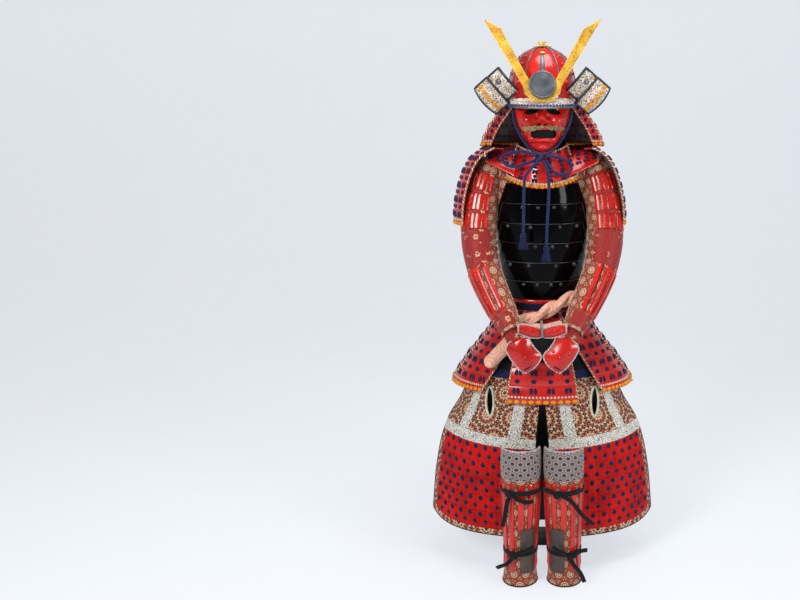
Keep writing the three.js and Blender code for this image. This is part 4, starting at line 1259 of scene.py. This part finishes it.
def make_helmet():
    shell = grid_on(bowl, 96, 26, closed=True)
    keep(thicken(shell, 2.2), "helmet_bowl", RED, ["helmet_bowl"])
    ribs, rivets = [], []
    heights = np.linspace(0.02, 0.93, 12)
    for k in range(12):
        if k:
            ribs.append(roll(line_on(bowl, np.full(12, k / 12), heights, 1.2, 40), 2.3, 8))
        if k not in (0, 11):
            for v in (0.2, 0.34, 0.5, 0.68, 0.86):
                rivets.append(((k + 0.5) / 12, v, 13.5, 13.5, 13, 0, 0))
    foot = [roll(line_on(bowl, np.linspace(0, 1, 61)[:-1], np.full(60, 0.985), 0.8, 120), 2.2, 8)]
    keep(joined(ribs + foot), "helmet_ribs", STEEL)
    keep(set_on(bowl, DOME, rivets), "helmet_rivets", RED)
    strip = bent_on(bowl, BAR, [(-0.012, 0.012, 0.12, 0.62, 0.4, 0.4, 2.4)])
    keep(strip, "helmet_front_strip", STEEL)
    fittings = [(0, 0.64, 17, 9, 5, 1.2, 0), (0, 0.15, 14, 8, 5, 1.2, 0), (0, 0.69, 7, 7, 6, 1.2, 0)]
    keep(set_on(bowl, PAD, fittings), "helmet_fittings", GOLD)
    top = BOWL["top"] + 0.25
    parts = []
    for radius, height, count, size in ((21, 2.5, 12, 9.5), (13.5, 8, 9, 8.0)):
        for k in range(count):
            a = 2 * math.pi * k / count
            deselect()
            bpy.ops.mesh.primitive_uv_sphere_add(segments=8, ring_count=6, radius=1, location=(0, 0, 0))
            petal = bpy.context.object
            p = np.array([v.co for v in petal.data.vertices]) * (size * 0.85, size * 0.5, 2.6)
            turned = np.stack([p[:, 0] * math.cos(a) - p[:, 1] * math.sin(a),
                p[:, 0] * math.sin(a) + p[:, 1] * math.cos(a), p[:, 2]], -1)
            turned += (radius * math.cos(a), radius * math.sin(a), top + height)
            petal.data.vertices.foreach_set("co", (turned * MM).ravel())
            parts.append(petal)
    profile = [(24, 0.2), (25, 2.5), (17, 5), (13, 6), (12, 11), (14.5, 13), (14, 15.5), (9, 18), (8, 12)]
    rings = []
    for radius, height in profile:
        a = np.linspace(0, 2 * np.pi, 33)[:-1]
        rings.append(np.stack([radius * np.cos(a), radius * np.sin(a), np.full(32, top + height)], -1))
    faces = [(i * 32 + k, i * 32 + (k + 1) % 32, (i + 1) * 32 + (k + 1) % 32, (i + 1) * 32 + k)
             for i in range(len(profile) - 1) for k in range(32)]
    faces += [tuple(range(32))[::-1], tuple(range((len(profile) - 1) * 32, len(profile) * 32))]
    parts.append(merged(as_object(np.concatenate(rings), faces)))
    keep(joined(parts), "helmet_finial", PALE_GOLD, ["helmet_finial"])


def make_visor():
    brim = grid_on(visor, 48, 8)
    keep(thicken(brim, 2.0), "helmet_visor", LEATHER, ["helmet_visor"])
    edge = list(np.linspace(0, 1, 25))
    rim = roll(line_on(visor, edge, np.full(25, 0.995), -1, 90), 2.8, 10)
    keep(rim, "visor_rim", STEEL)
    keep(roll(line_on(visor, edge, np.full(25, 0.86), 0.6, 90), 1.8, 8), "visor_braid", STEEL)
    stitches = [((k + 0.5) / 26, 0.84, 7, 6.5, 5, 0.6, 0) for k in range(26)]
    keep(set_on(visor, PAD, stitches), "visor_stitches", BLUE)


def make_ears():
    tiers = ((1, np.array([124, -89.2, 1531.0]), 54, 88), (2, np.array([158.2, -74.5, 1497.3]), 61.5, 100))
    for number, middle, wide, long in tiers:
        right = ear(middle, wide, long)
        for side in ("right", "left"):
            surface = right if side == "right" else mirrored(right)
            name = f"helmet_ear_{number}_{side}"
            keep(thicken(grid_on(surface, 14, 20), 2.2, 0.0), name, LEATHER, [name])
            n = 9
            us = np.concatenate([np.linspace(0, 1, n), np.full(n, 1.0), np.linspace(1, 0, n), np.zeros(n)])
            vs = np.concatenate([np.zeros(n), np.linspace(0, 1, n), np.full(n, 1.0), np.linspace(1, 0, n)])
            base = stance(surface, us, vs)[0]
            keep(roll(base[:-1], 4.0, 10, closed=True), f"{name}_rim", DARK_RIM)
            keep(roll(line_on(surface, [0.06] * 9 if side == "left" else [0.94] * 9,
                np.linspace(0.04, 0.96, 9), 1.6, 40), 1.2, 6), f"{name}_braid", PIPING)
            front = -1 if stance(surface, np.array([0.5]), np.array([0.5]))[3][0, 1] > 0 else 1
            if number == 1:
                stud = set_on(surface, DOME, [(0.5, 0.36, 19, 19, 7 * front, 1.0 * front, 0)])
                keep(stud, f"{name}_stud", STEEL)
            else:
                row = 0.36 if side == "left" else 0.64
                squares = [(row + 0.03 * (k % 2), 0.1 + 0.16 * k, 12.5, 13, 5 * front, 0.8 * front, 8)
                    for k in range(6)]
                keep(set_on(surface, PAD, squares), f"{name}_squares", YELLOW)


def make_neck_guard():
    laced("neck_guard", neck, ["neck_guard"], 4, 16, proud=3.5, beads=44, pad=(7, 14),
        wide_plate=make_plate(44, 4, 0.05, 0.001))
    inside = grid_on(moved(neck, -2.0), 60, 16)
    keep(thicken(inside, 0.8), "neck_guard_inside", MAROON)
    dots = [(u, v, 8, 8, 2.5, -4.6, 0) for v in (0.3, 0.55, 0.8) for u in np.linspace(0.07, 0.93, 22)]
    studs = set_on(neck, PAD, dots)
    keep(studs, "neck_guard_inside_knots", NAVY)
    rim = roll(line_on(neck, np.linspace(0, 1, 41), np.full(41, 0.995), 0, 160), 3.2, 10)
    keep(rim, "neck_guard_rim", MAROON)

    def wing(u, v):
        """The guard's front edge, turned to face forwards."""
        edge = neck(np.zeros(np.shape(v)), v)
        inwards = (1 - np.asarray(u, float))[..., None] * np.array([-30.0, 0, 0])
        return edge + inwards + np.array([0.0, -4, 0])

    for side, surface in (("right", wing), ("left", mirrored(wing))):
        laced(f"neck_guard_wing_{side}", surface, (), 4, 1, beads=2, pad=(8, 12), singles=9)
    beads = [((k + 0.5) / 60, 0.975, 10, 12, 9, -8, 0) for k in range(60)]
    keep(set_on(neck, PAD, beads), "neck_guard_beads_inside", YELLOW)


def make_crest():
    for name, stuff in (("crest_holder", GOLD), ("crest_horn_right", GOLD), ("crest_horn_left", GOLD),
            ("crest_disc", STEEL)):
        dress(name, stuff, 0.8)
    lean = math.radians(-math.degrees(0.1))
    centre = np.array([0, -147.3 - 2 * 3 - 2 * 0.3 - 5.2, 1528.0])

    def leaned(p):
        y, z = p[:, 1] + 147.3, p[:, 2] - 1476
        return np.stack([p[:, 0], y * math.cos(lean) - z * math.sin(lean) - 147.3,
            y * math.sin(lean) + z * math.cos(lean) + 1476], -1)

    ring = []
    for radius, size in ((37.5, 2.6), (30, 1.0)):
        a = np.linspace(0, 2 * np.pi, 49)[:-1]
        p = leaned(centre + np.stack([radius * np.sin(a), np.zeros_like(a), radius * np.cos(a)], -1))
        ring.append(roll(p, size, 8, closed=True))
    keep(joined(ring), "crest_disc_rim", STEEL)


def dress(node, stuff, bevel=0.0):
    """A carried-over solid with its own finish and rounded edges."""
    obj = NODES[node]
    paint_with(obj, stuff)
    weld = obj.modifiers.new("weld", "WELD")
    weld.merge_threshold = 1e-5
    if bevel:
        edge = obj.modifiers.new("edge", "BEVEL")
        edge.width = bevel * MM
        edge.segments = 2
        edge.limit_method = "ANGLE"
        edge.angle_limit = math.radians(35)


# Mask


def bump(x, z, cx, cz, wx, wz):
    return np.exp(-(((x - cx) / wx) ** 2) - ((z - cz) / wz) ** 2)


def relief(u, v, point):
    x, z = np.abs(point[:, 0]), point[:, 2]
    high = bump(x, z, 0, 1446, 8, 24) * 20 + bump(x, z, 0, 1423, 10, 12) * 36 + bump(x, z, 16, 1418, 8,
        8) * 21
    high += bump(x, z, 47, 1426, 18, 17) * 11 + bump(x, z, 26, 1462, 22, 7) * 8 + bump(x, z, 0, 1402, 34,
        5) * 4
    high += bump(x, z, 0, 1367, 32, 6) * 9 + bump(x, z, 0, 1346, 20, 13) * 12 + bump(x, z, 38, 1383, 7,
        16) * 6
    high -= bump(x, z, 29, 1408, 4, 17) * 6 + bump(x, z, 62, 1400, 4, 22) * 4 + bump(x, z, 49, 1386, 4,
        18) * 4
    high -= bump(x, z, 9, 1411, 5, 4.2) * 12 + bump(x, z, 0, 1356, 26, 3) * 4 + bump(x, z, 18, 1438, 6, 5) * 5
    return np.maximum(high, -3.0)


def cutter(x, y, z, wide, deep, tall, turn=0.0):
    deselect()
    bpy.ops.mesh.primitive_cylinder_add(vertices=32, radius=0.5, depth=1, location=(0, 0, 0))
    obj = bpy.context.object
    p = np.array([v.co for v in obj.data.vertices])
    a, b = p[:, 0] * wide, p[:, 1] * tall
    c, s = math.cos(turn), math.sin(turn)
    obj.data.vertices.foreach_set("co",
        (np.stack([x + a * c - b * s, y - p[:, 2] * deep, z + a * s + b * c], -1) * MM).ravel())
    return merged(obj)


def block_cutter(x, y, z, wide, deep, tall, corner):
    """A block with rounded corners, for a mouth."""
    deselect()
    bpy.ops.mesh.primitive_cube_add(size=1, location=(x * MM, y * MM, z * MM))
    obj = bpy.context.object
    obj.scale = (wide * MM, deep * MM, tall * MM)
    bpy.ops.object.transform_apply(location=True, rotation=False, scale=True)
    edge = obj.modifiers.new("corners", "BEVEL")
    edge.width = corner * MM
    edge.segments = 4
    apply_all(obj)
    return obj


def bore(obj, tools):
    for tool in tools:
        cut = obj.modifiers.new("cut", "BOOLEAN")
        cut.operation = "DIFFERENCE"
        cut.solver = "EXACT"
        cut.object = tool
    apply_all(obj)
    for tool in tools:
        bpy.data.objects.remove(tool, do_unlink=True)


def make_mask():
    shell = thicken(grid_on(face, 88, 64, relief), 2.6)
    eyes = [cutter(side * 33, -120, 1452, 44, 90, 17, side * -0.25) for side in (1, -1)]
    nostrils = [cutter(side * 8, -150, 1412, 8.5, 70, 6.5) for side in (1, -1)]
    bore(shell, [block_cutter(4, -130, 1386, 76, 90, 25, 9)] + eyes + nostrils)
    keep(shell, "face_mask", RED, ["face_mask"], smooth=40)
    # Painted shade: a black cotton sheet set inside the mask, so that its eye, nostril and mouth openings and
    # the space under the chin show dark.
    inner_sheet = grid_on(moved(part_of(face, 0.06, 0.94, 0.03, 0.8), -4.4), 40, 30)
    keep(thicken(inner_sheet, 0.8), "mask_shade_sheet", COTTON)
    draw = random.Random(5)
    hairs = []
    for k in range(240):
        side = 1 if k % 2 else -1
        start = side * draw.uniform(1, 42)
        u = 0.52 + start / 170
        v = (1466 - (1411 - 5 * abs(start) / 40 + draw.uniform(-4, 3))) / 128
        lean_u, lean_v = side * draw.uniform(0.035, 0.10), draw.uniform(0.02, 0.075)
        us, vs = np.array([u, u + lean_u * 0.5, u + lean_u]), np.array([v, v + lean_v * 0.45, v + lean_v])
        base, _, _, out = stance(face, us, vs)
        high = relief(us, vs, base)
        path = base + out * (np.maximum(high, 0) + np.array([0.8, 4.2, 3.2]))[:, None]
        hairs.append(roll(path, [1.6, 1.4, 0.4], 3))
    keep(joined(hairs), "moustache", HAIR)
    studs = [(0.5 + s * 0.46, v, 9, 9, 9, 0, 0) for s in (-1, 1) for v in (0.18,)]
    keep(set_on(face, DOME, studs), "mask_cord_pegs", RED)

# Cuirass, waist and sash


def make_cuirass():
    for name, start, end, back in (("cuirass_front", -88.6, 88.6, False),
            ("cuirass_back", 91.4, 268.6, True)):
        surface = cuirass(start, end, back)
        spans = [(0, 1, i / 6, min((i + 1) / 6 + 0.004, 1), 0.6, -2.2, 2.6) for i in range(6)]
        keep(bent_on(surface, make_plate(60, 6, 0.035, 0.002), spans), name, BLACK, [name], smooth=25)
        rims = []
        u = np.linspace(0, 1, 61)
        base, _, _, out = stance(surface, u, np.full(61, 0.004))
        rims.append(roll(base + out * 0.6, 2.6, 8))
        for edge in (0.0, 1.0):
            rims.append(roll(line_on(surface, np.full(10, edge), np.linspace(0.01, 0.99, 10), 0.4, 60), 1.8,
                8))
        for i in range(1, 6):
            v = i / 6 + 0.004
            rims.append(roll(line_on(surface, np.linspace(0.01, 0.99, 25), np.full(25, v), 3.0, 90), 1.3, 8))
        # Painted reflection: the rims and lame edges are painted grey.
        keep(joined(rims), f"{name}_rim", REFLECTION_BLACK)
    front = cuirass(-88.6, 88.6, False)
    pairs = [(0.36, 1), (0.47, 1), (0.58, 1), (0.66, 1), (0.42, 2), (0.62, 2), (0.45, 3), (0.57, 3),
        (0.68, 3), (0.4, 4),
             (0.6, 4), (0.35, 5), (0.46, 5), (0.57, 5), (0.65, 5), (0.24, 2), (0.76, 2), (0.24, 4), (0.76, 4)]
    rivets = [(u, row / 6 + 0.03, 14, 14, 14, 1.8, 0) for u, row in pairs]
    # Painted reflection: the front rivets are painted grey.
    keep(set_on(front, DOME, rivets), "cuirass_rivets", REFLECTION_BLACK)
    back = cuirass(91.4, 268.6, True)
    rear = [(u, row / 6 + 0.03, 12, 12, 12, 1.8, 0) for row in range(1, 6) for u in (0.2, 0.4, 0.6, 0.8)]
    keep(set_on(back, DOME, rear), "cuirass_rear_rivets", BLACK)
    for side in ("right", "left"):
        dress(f"shoulder_strap_{side}", RED, 1.0)


def make_collar():
    """The dark padded collar that stands behind the neck."""

    def around(u, v):
        return oval(92, 62, np.radians(lerp(125, 235, u)), lerp(1366, 1284, v))

    keep(thicken(grid_on(around, 40, 8), 4), "collar_cloth", COTTON)


def band_round(out, high, low, height_for=850):
    a, b = read(TORSO, height_for)
    return lambda u, v: oval(a + out, b + out, (u - 0.5) * 2 * np.pi, lerp(high, low, v))


def make_waist():
    top = band_round(0, 871.7, 858)
    red = bent_on(top, make_plate(80, 3, 0.12, 0.001), [(0, 1, 0, 1, -1.0, -1.0, 3.0)])
    keep(red, "waist_rim", RED)
    cloth = bent_on(band_round(0, 858.5, 836), make_plate(80, 3, 0.06, 0.001), [(0, 1, 0, 1, -3, -3, 3.0)])
    keep(cloth, "waist_lacing", NAVY, ["waist_lacing"])
    zigzag = [((k + 0.5) / 110, 0.5, 5.5, 12, 2.4, 0, 24 if k % 2 else -24) for k in range(110)]
    keep(set_on(band_round(0, 862, 850), PAD, zigzag), "waist_stitches", NAVY)


def sash_path(count):
    points = []
    for turn in np.linspace(-180, 180, 25)[:-1]:
        z = float(read(SASH_TURN, turn)[0])
        under = z - 17
        a, b = read(TORSO if under > 836 else SKIRT, under)
        points.append(tuple(oval(a + 26.3, b + 26.3, math.radians(turn), z)))
    return smooth_path(points, count, True)


def make_sash():
    def folds(round_it, along):
        turn = 2 * np.pi * round_it
        return 0.84 + 0.12 * np.cos(2 * turn + along / 26) + 0.07 * np.cos(5 * turn - along
            / 17) + 0.03 * np.cos(9 * turn + along / 9)

    middle = sash_path(300)
    out = unit(middle * (1, 1, 0))
    strands = []
    for k in range(2):
        phase = (2 * np.pi * 7 * np.arange(300) / 300 + k * np.pi)[:, None]
        strand = middle + (out * np.cos(phase) + np.array([0, 0, 1.0]) * np.sin(phase)) * 9.5
        strands.append(roll(strand, 14.5, 24, closed=True, relief=folds, girth=0.09))
    roll_round = keep(joined(strands), "sash", PINK_SILK, ["sash"], smooth=80)
    route = smooth_path([(-76, -162.9, 772.7), (-102, -172, 749), (-134, -178, 718), (-164, -180, 688)], 60)
    t = np.linspace(0, 1, 61)
    close = np.clip(np.minimum(t, 1 - t) / 0.13, 0.02, 1)
    size = 22.3 * np.sqrt(1 - (1 - close) ** 2)
    way = unit(route[-1] - route[-2])
    route = route + way * (t[:, None] ** 3) * 17
    end = roll(route, np.maximum(size, 1.5), 32, relief=lambda r,
        s: 0.96 + 0.03 * np.cos(4 * np.pi * r + s / 20) + 0.012 * np.cos(12 * np.pi * r), girth=0.14)
    keep(end, "sash_end", PINK_SILK, ["sash_end"], smooth=80)
    second = [(58, -150, 806), (30, -163, 800), (2, -168, 797), (-28, -166, 800), (-52, -158, 812)]
    loop = roll(smooth_path(second, 50), 11.5, 20, relief=folds, girth=0.07)
    keep(loop, "sash_lower_strand", PINK_SILK, smooth=80)


# Armoured sleeves and hands


def make_sleeves():
    for side in ("right", "left"):
        arm = sleeve if side == "right" else mirrored(sleeve)
        place = (lambda u: u) if side == "right" else (lambda u: 1 - u)

        def span(u0, u1):
            return (min(place(u0), place(u1)), max(place(u0), place(u1)))

        def crumple(u, v, point):
            ease = np.clip((v - 0.42) / 0.06, 0, 1) * np.clip((0.66 - v) / 0.05, 0, 1)
            inner = np.clip(np.cos(2 * np.pi * (u - place(0.75))), 0, 1)
            return ease * inner * 3.0 * np.sin(v * 150) + 0.5 * np.sin(14 * np.pi * u) - 0.3

        cloth = grid_on(arm, 64, 150, crumple, closed=True)
        keep(thicken(cloth, 1.5), f"sleeve_{side}", SLEEVE_SILK, [f"sleeve_{side}"], smooth=70)
        (wide, tall), area = flat_cut(arm)
        uppers = []
        for v0, v1 in ((0.1, 0.2), (0.22, 0.32), (0.34, 0.44)):
            for k in range(8):
                u0 = -0.085 + k * 0.063
                uppers.append((*span(u0, u0 + 0.052), v0, v1, 0.2, 0.2, 4.0))
        longs = []
        for k in range(6):
            u0 = -0.06 + k * 0.078 + (0.012 if k % 2 else 0)
            longs.append((*span(u0, u0 + 0.052), 0.655, 0.915, 0.2, 0.2, 5.2))
        keep(bent_on(arm, make_bar(5, 8), uppers), f"sleeve_splints_{side}", RED)
        keep(bent_on(arm, make_bar(5, 18), longs), f"sleeve_long_splints_{side}", RED)
        fields = [
            (-0.12, 0.44, 0.445, 0.64), (-0.1, 0.43, 0.2, 0.22), (-0.1, 0.43, 0.32, 0.34),
                (-0.1, 0.43, 0.085, 0.10),
            (-0.12, 0.44, 0.92, 0.985), (-0.12, 0.44, 0.64, 0.655),
        ]
        patches = []
        for u0, u1, v0, v1 in fields:
            field = part_of(arm, *span(u0, u1), v0, v1)
            rows = 24 if v1 - v0 > 0.1 else 4
            patches.append(thicken(grid_on(moved(field, 1.6), 40, rows), 1.5))
        keep(joined(patches), f"sleeve_mail_{side}", MAIL)
        strips = []
        for k in range(5):
            u0 = -0.008 + k * 0.078
            strips.append((*span(u0, u0 + 0.012), 0.66, 0.91, 0.2, 0.2, 1.6))
        keep(bent_on(arm, make_bar(3, 18), strips), f"sleeve_mail_strips_{side}", MAIL)
        middle = np.mean(arm(np.linspace(0, 1, 33)[:-1], np.full(32, 0.985)), axis=0)

        def wrist(u, v):
            return lerp(arm(u, np.full(np.shape(u), 0.985)), middle, np.asarray(v, float)[..., None])

        keep(thicken(grid_on(wrist, 48, 8, closed=True), 1.2), f"sleeve_wrist_{side}", MAIL)
        way = 1 if side == "right" else -1
        down = [(94 * way, -236, 812), (87 * way, -240, 792), (79 * way, -242, 774), (72 * way, -243, 752)]
        back = roll(smooth_path(down, 24), 11.5, 32, flat=2.5, facing=(0, -1, 0), girth=0.13)
        keep(back, f"sleeve_hand_mail_{side}", MAIL)
        seam_u = place(0.76)
        seam = roll(line_on(arm, np.full(20, seam_u), np.linspace(0.02, 0.98, 20), 0.5, 120), 1.6, 6)
        keep(seam, f"sleeve_seam_{side}", EDGING)


def outline_of(surface, n, lift):
    us = np.concatenate([np.linspace(0, 1, n)[:-1], np.full(n - 1, 1.0), np.linspace(1, 0, n)[:-1],
        np.zeros(n - 1)])
    vs = np.concatenate([np.zeros(n - 1), np.linspace(0, 1, n)[:-1], np.full(n - 1, 1.0),
        np.linspace(1, 0, n)[:-1]])
    base, _, _, out = stance(surface, us, vs)
    return base + out * lift


def make_hands():
    for side in ("right", "left"):
        for name, shape, studs in (
            ("hand_plate", hand, [(0.25, 0.12), (0.75, 0.2), (0.2, 0.4), (0.75, 0.45), (0.5, 0.55),
                (0.35, 0.7), (0.6, 0.75)]),
            ("thumb_plate", thumb, [(0.2, 0.5), (0.5, 0.4), (0.8, 0.55)]),
        ):
            surface = shape if side == "right" else mirrored(shape)
            plate = thicken(grid_on(surface, 22, 18), 2.2, bevel=0.5)
            keep(plate, f"{name}_{side}", RED, [f"{name}_{side}"], smooth=40)
            path = smooth_path(outline_of(surface, 9, -1.0), 120, True)
            keep(roll(path, 2.7, 8, closed=True), f"{name}_piping_{side}", PIPING)
            places = [(u if side == "right" else 1 - u, v, 11, 11, 12, 0.1, 0) for u, v in studs]
            keep(set_on(surface, DOME, places), f"{name}_studs_{side}", RED)
        surface = hand if side == "right" else mirrored(hand)
        tilt = 28 if side == "right" else -28
        stitch = set_on(surface, PAD, [(0.42 if side == "right" else 0.58, 0.86, 24, 4.2, 2.4, 0.3, -tilt)])
        keep(stitch, f"hand_stitch_{side}", NAVY)

    def palm(u, v):
        return points_of(lerp(-46, 46, u), -246.5, lerp(806, 704, v))

    keep(thicken(grid_on(palm, 12, 12), 1.2), "palm_cloth", COTTON)
    toggle = roll(smooth_path([(-3, -252, 838), (-2, -256, 824), (-1, -262, 806), (0, -266, 792)], 20), 4.2,
        10)
    keep(toggle, "finger_cord_end", STEEL)


# Thigh guards


def make_apron():
    slit_right = {"x": 166, "z": 553, "wide": 19, "tall": 85}
    for side in ("right", "left"):
        way = 1 if side == "right" else -1
        base = apron if side == "right" else mirrored(apron)
        place = (lambda u: u) if side == "right" else (lambda u: 1 - u)

        def span(u0, u1):
            return (min(place(u0), place(u1)), max(place(u0), place(u1)))

        cloth = thicken(grid_on(base, 70, 90), 2.0)
        leaf = cutter(way * slit_right["x"], -160, slit_right["z"], slit_right["wide"], 120,
            slit_right["tall"])
        bore(cloth, [leaf])
        keep(cloth, f"thigh_cloth_{side}", APRON_SILK, [f"thigh_cloth_{side}"], smooth=60)
        (wide, tall), area = flat_cut(base)
        ring = []
        for a in np.linspace(0, 2 * np.pi, 29)[:-1]:
            x = way * (slit_right["x"] + 12.5 * math.sin(a))
            z = slit_right["z"] + 45 * math.cos(a)
            ring.append((x, slit_depth(abs(x), z) - 1.2, z))
        keep(roll(smooth_path(ring, 90, True), 4.0, 8, closed=True), f"slit_binding_{side}", CREAM)

        v_of = lambda z: (660 - z) / 542
        band = grid_on(moved(part_of(base, *span(0, 1), v_of(445), v_of(413)), 1.9), 70, 5)
        pieces = [thicken(band, 1.6)]
        for u0, u1 in ((0.135, 0.245), (0.655, 0.765)):
            strip = grid_on(moved(part_of(base, *span(u0, u1), v_of(585), v_of(446)), 1.9), 8, 26)
            pieces.append(thicken(strip, 1.6))
        keep(joined(pieces), f"thigh_bands_{side}", WHITE_BAND, smooth=60)

        rows, columns = 5, 10
        plates, knots = [], []
        top, foot = 412.0, 139.0
        for i in range(rows):
            z0, z1 = lerp(top, foot, i / rows), lerp(top, foot, (i + 1) / rows)
            for c in range(columns):
                u0, u1 = 0.012 + c * 0.0915, 0.012 + (c + 1) * 0.0915
                plates.append((*span(u0 + 0.001, u1 - 0.001), v_of(z0), v_of(z1 - 1), 2.3, 0.5, 2.0))
                knots.append((place((u0 + u1) / 2), v_of(z0 - 9), 18, 18, 10, 2.6, 0))
                if c:
                    knots.append((place(u0), v_of((z0 + z1) / 2 - 8), 15, 15, 9, 2.3, 0))
        keep(bent_on(base, SMALL_PLATE, plates), f"thigh_plates_{side}", SCALE, [f"thigh_plates_{side}"],
            smooth=35)
        keep(set_on(base, DOME, knots), f"thigh_knots_{side}", NAVY)
        hem_u = [0.0] * 20 + list(np.linspace(0, 1, 30)) + [1.0] * 20
        hem_v = list(np.linspace(0.02, 1, 20)) + [1.0] * 30 + list(np.linspace(1, 0.02, 20))
        point, _, _, out = stance(base, np.array([place(u) for u in hem_u]), np.array(hem_v))
        keep(roll(smooth_path(point - out, 200), 2.1, 8), f"thigh_piping_{side}", COTTON)

    def belt(u, v):
        z = lerp(659, 632, v)
        wide, deep = read(THIGH, z)
        return oval(wide + 9.4, deep + 9.4, (u - 0.5) * 2 * np.pi, z)

    cloth = bent_on(belt, make_plate(90, 4, 0.06, 0.001), [(0, 1, 0, 1, -6.5, -6.5, 6.5)])
    keep(cloth, "waist_band", NAVY, ["waist_band"], smooth=60)


def slit_depth(x, z):
    """How far forward the thigh cloth lies at a place beside its slit."""
    a, b = read(THIGH, z)
    return float(-b * np.sqrt(max(1 - (x / a) ** 2, 0)))


# Shins


def tie(name, side, z, knot_u, tails):
    """A flat cotton band with its bow-less knot and its loose tails."""
    way = 1 if side == "right" else -1
    surface = shin(z + 7, z - 7, 108)
    surface = surface if side == "right" else mirrored(surface)
    over = moved(surface, 6.6)
    band = thicken(grid_on(over, 60, 4), 3.0, bevel=0.7)
    keep(band, f"tie_{name}_{side}", COTTON, [f"tie_{name}_{side}"])
    knot = set_on(over, make_pad(0.3, 2),
        [(knot_u, 0.5, 26, 22, 14, -0.5, 25 * way), (knot_u + 0.025, 0.35, 16, 27, 15, -0.5, -35 * way)])
    keep(knot, f"tie_{name}_knot_{side}", COTTON)
    bands = []
    for tail in tails:
        bands.append(roll(smooth_path(tail, 40), 2.0, 12, flat=3.4, facing=(0, -1, 0)))
    keep(joined(bands), f"tie_{name}_tails_{side}", COTTON)


def make_shins():
    for side in ("right", "left"):
        leg = shin(352, 0) if side == "right" else mirrored(shin(352, 0))
        place = (lambda u: u) if side == "right" else (lambda u: 1 - u)

        def span(u0, u1):
            return (min(place(u0), place(u1)), max(place(u0), place(u1)))

        keep(thicken(grid_on(leg, 60, 50), 1.6), f"shin_guard_{side}", SLEEVE_SILK, [f"shin_guard_{side}"],
            smooth=60)
        splints = []
        for k in range(7):
            u0 = 0.035 + k * 0.138
            inner = 0.23 < u0 + 0.05 < 0.5
            splints.append((*span(u0, u0 + 0.09), 0.035, 0.46 if inner else 0.87, 0.3, 0.3, 5.0))
        keep(bent_on(leg, make_bar(6, 16), splints), f"shin_splints_{side}", RED)
        patch = grid_on(moved(part_of(leg, *span(0.25, 0.5), 0.455, 0.87), 4.4), 20, 24)
        keep(thicken(patch, 2.2, bevel=0.4), f"shin_leather_{side}", BROWN_LEATHER)
        foot = roll(line_on(leg, np.linspace(0, 1, 31), np.full(31, 0.993), -0.5, 90), 2.4, 8)
        keep(foot, f"shin_hem_{side}", COTTON)
        rise = [roll(line_on(leg, np.full(10, e), np.linspace(0.0, 0.99, 10), -0.5, 60), 2.0, 8)
            for e in (0.0, 1.0)]
        keep(joined(rise), f"shin_sides_{side}", COTTON)

        knee_field = shin(446, 352.3, 96) if side == "right" else mirrored(shin(446, 352.3, 96))

        def swell(u, v, point):
            return 5.2 * np.sin(np.pi * np.clip(u, 0, 1)) ** 0.4 * np.sin(np.pi * np.clip(v, 0, 1)) ** 0.4

        def knee(u, v):
            """The corners of the knee are drawn in."""
            u, v = np.asarray(u, float), np.asarray(v, float)
            narrow = 1 - 0.16 * np.abs(2 * v - 1) ** 3
            return knee_field(0.5 + (u - 0.5) * narrow, v)

        pad = thicken(grid_on(knee, 56, 40, swell), 2.6, bevel=0.8)
        keep(pad, f"knee_guard_{side}", HEXAGONS, [f"knee_guard_{side}"], smooth=60)
        scallops = [((k + 0.5) / 18, 0.015, 12.5, 11, 9, -2.6, 0) for k in range(18)]
        keep(set_on(knee, DOME, scallops), f"knee_scallops_{side}", PALE_SILK)
        us = np.concatenate([np.zeros(12), np.linspace(0, 1, 24), np.ones(12)])
        vs = np.concatenate([np.linspace(0.02, 0.99, 12), np.full(24, 0.99), np.linspace(0.99, 0.02, 12)])
        base, _, _, out = stance(knee, us, vs)
        keep(roll(smooth_path(base - out * 0.5, 120), 2.0, 8), f"knee_piping_{side}", PALE_SILK)
    tie("upper", "left", 314, 0.36, [
        [(-96, -326, 314), (-72, -335, 320), (-44, -336, 322), (-28, -330, 326)],
        [(-96, -328, 313), (-106, -333, 292), (-114, -331, 244), (-122, -326, 208)],
        [(-92, -328, 310), (-70, -334, 298), (-46, -336, 292), (-26, -331, 294)],
    ])
    tie("upper", "right", 314, 0.42, [
        [(54, -328, 316), (76, -336, 321), (100, -331, 324), (116, -318, 327)],
        [(56, -330, 314), (90, -335, 292), (124, -326, 244), (158, -312, 208)],
        [(52, -328, 312), (36, -332, 320), (22, -325, 324), (14, -316, 326)],
    ])
    tie("lower", "left", 110, 0.40, [
        [(-84, -321, 112), (-62, -329, 124), (-42, -330, 134), (-26, -325, 142)],
        [(-86, -321, 110), (-108, -322, 82), (-126, -314, 70), (-142, -304, 58)],
    ])
    tie("lower", "right", 110, 0.62, [
        [(78, -322, 110), (58, -329, 124), (42, -330, 134), (32, -328, 142)],
        [(80, -322, 110), (104, -320, 114), (124, -308, 118), (140, -300, 116)],
        [(80, -322, 108), (100, -322, 74), (118, -316, 48), (132, -308, 12)],
    ])


def make_stand():
    dress("stand_post", WOOD, 1.2)
    dress("chest_body", CHEST, 2.0)
    dress("chest_lid", CHEST, 2.0)


make_cords()
make_skirt()
make_shoulder_guards()
make_throat_guard()
make_helmet()
make_visor()
make_ears()
make_neck_guard()
make_crest()
make_mask()
make_cuirass()
make_collar()
make_waist()
make_sash()
make_sleeves()
make_hands()
make_apron()
make_shins()
make_stand()
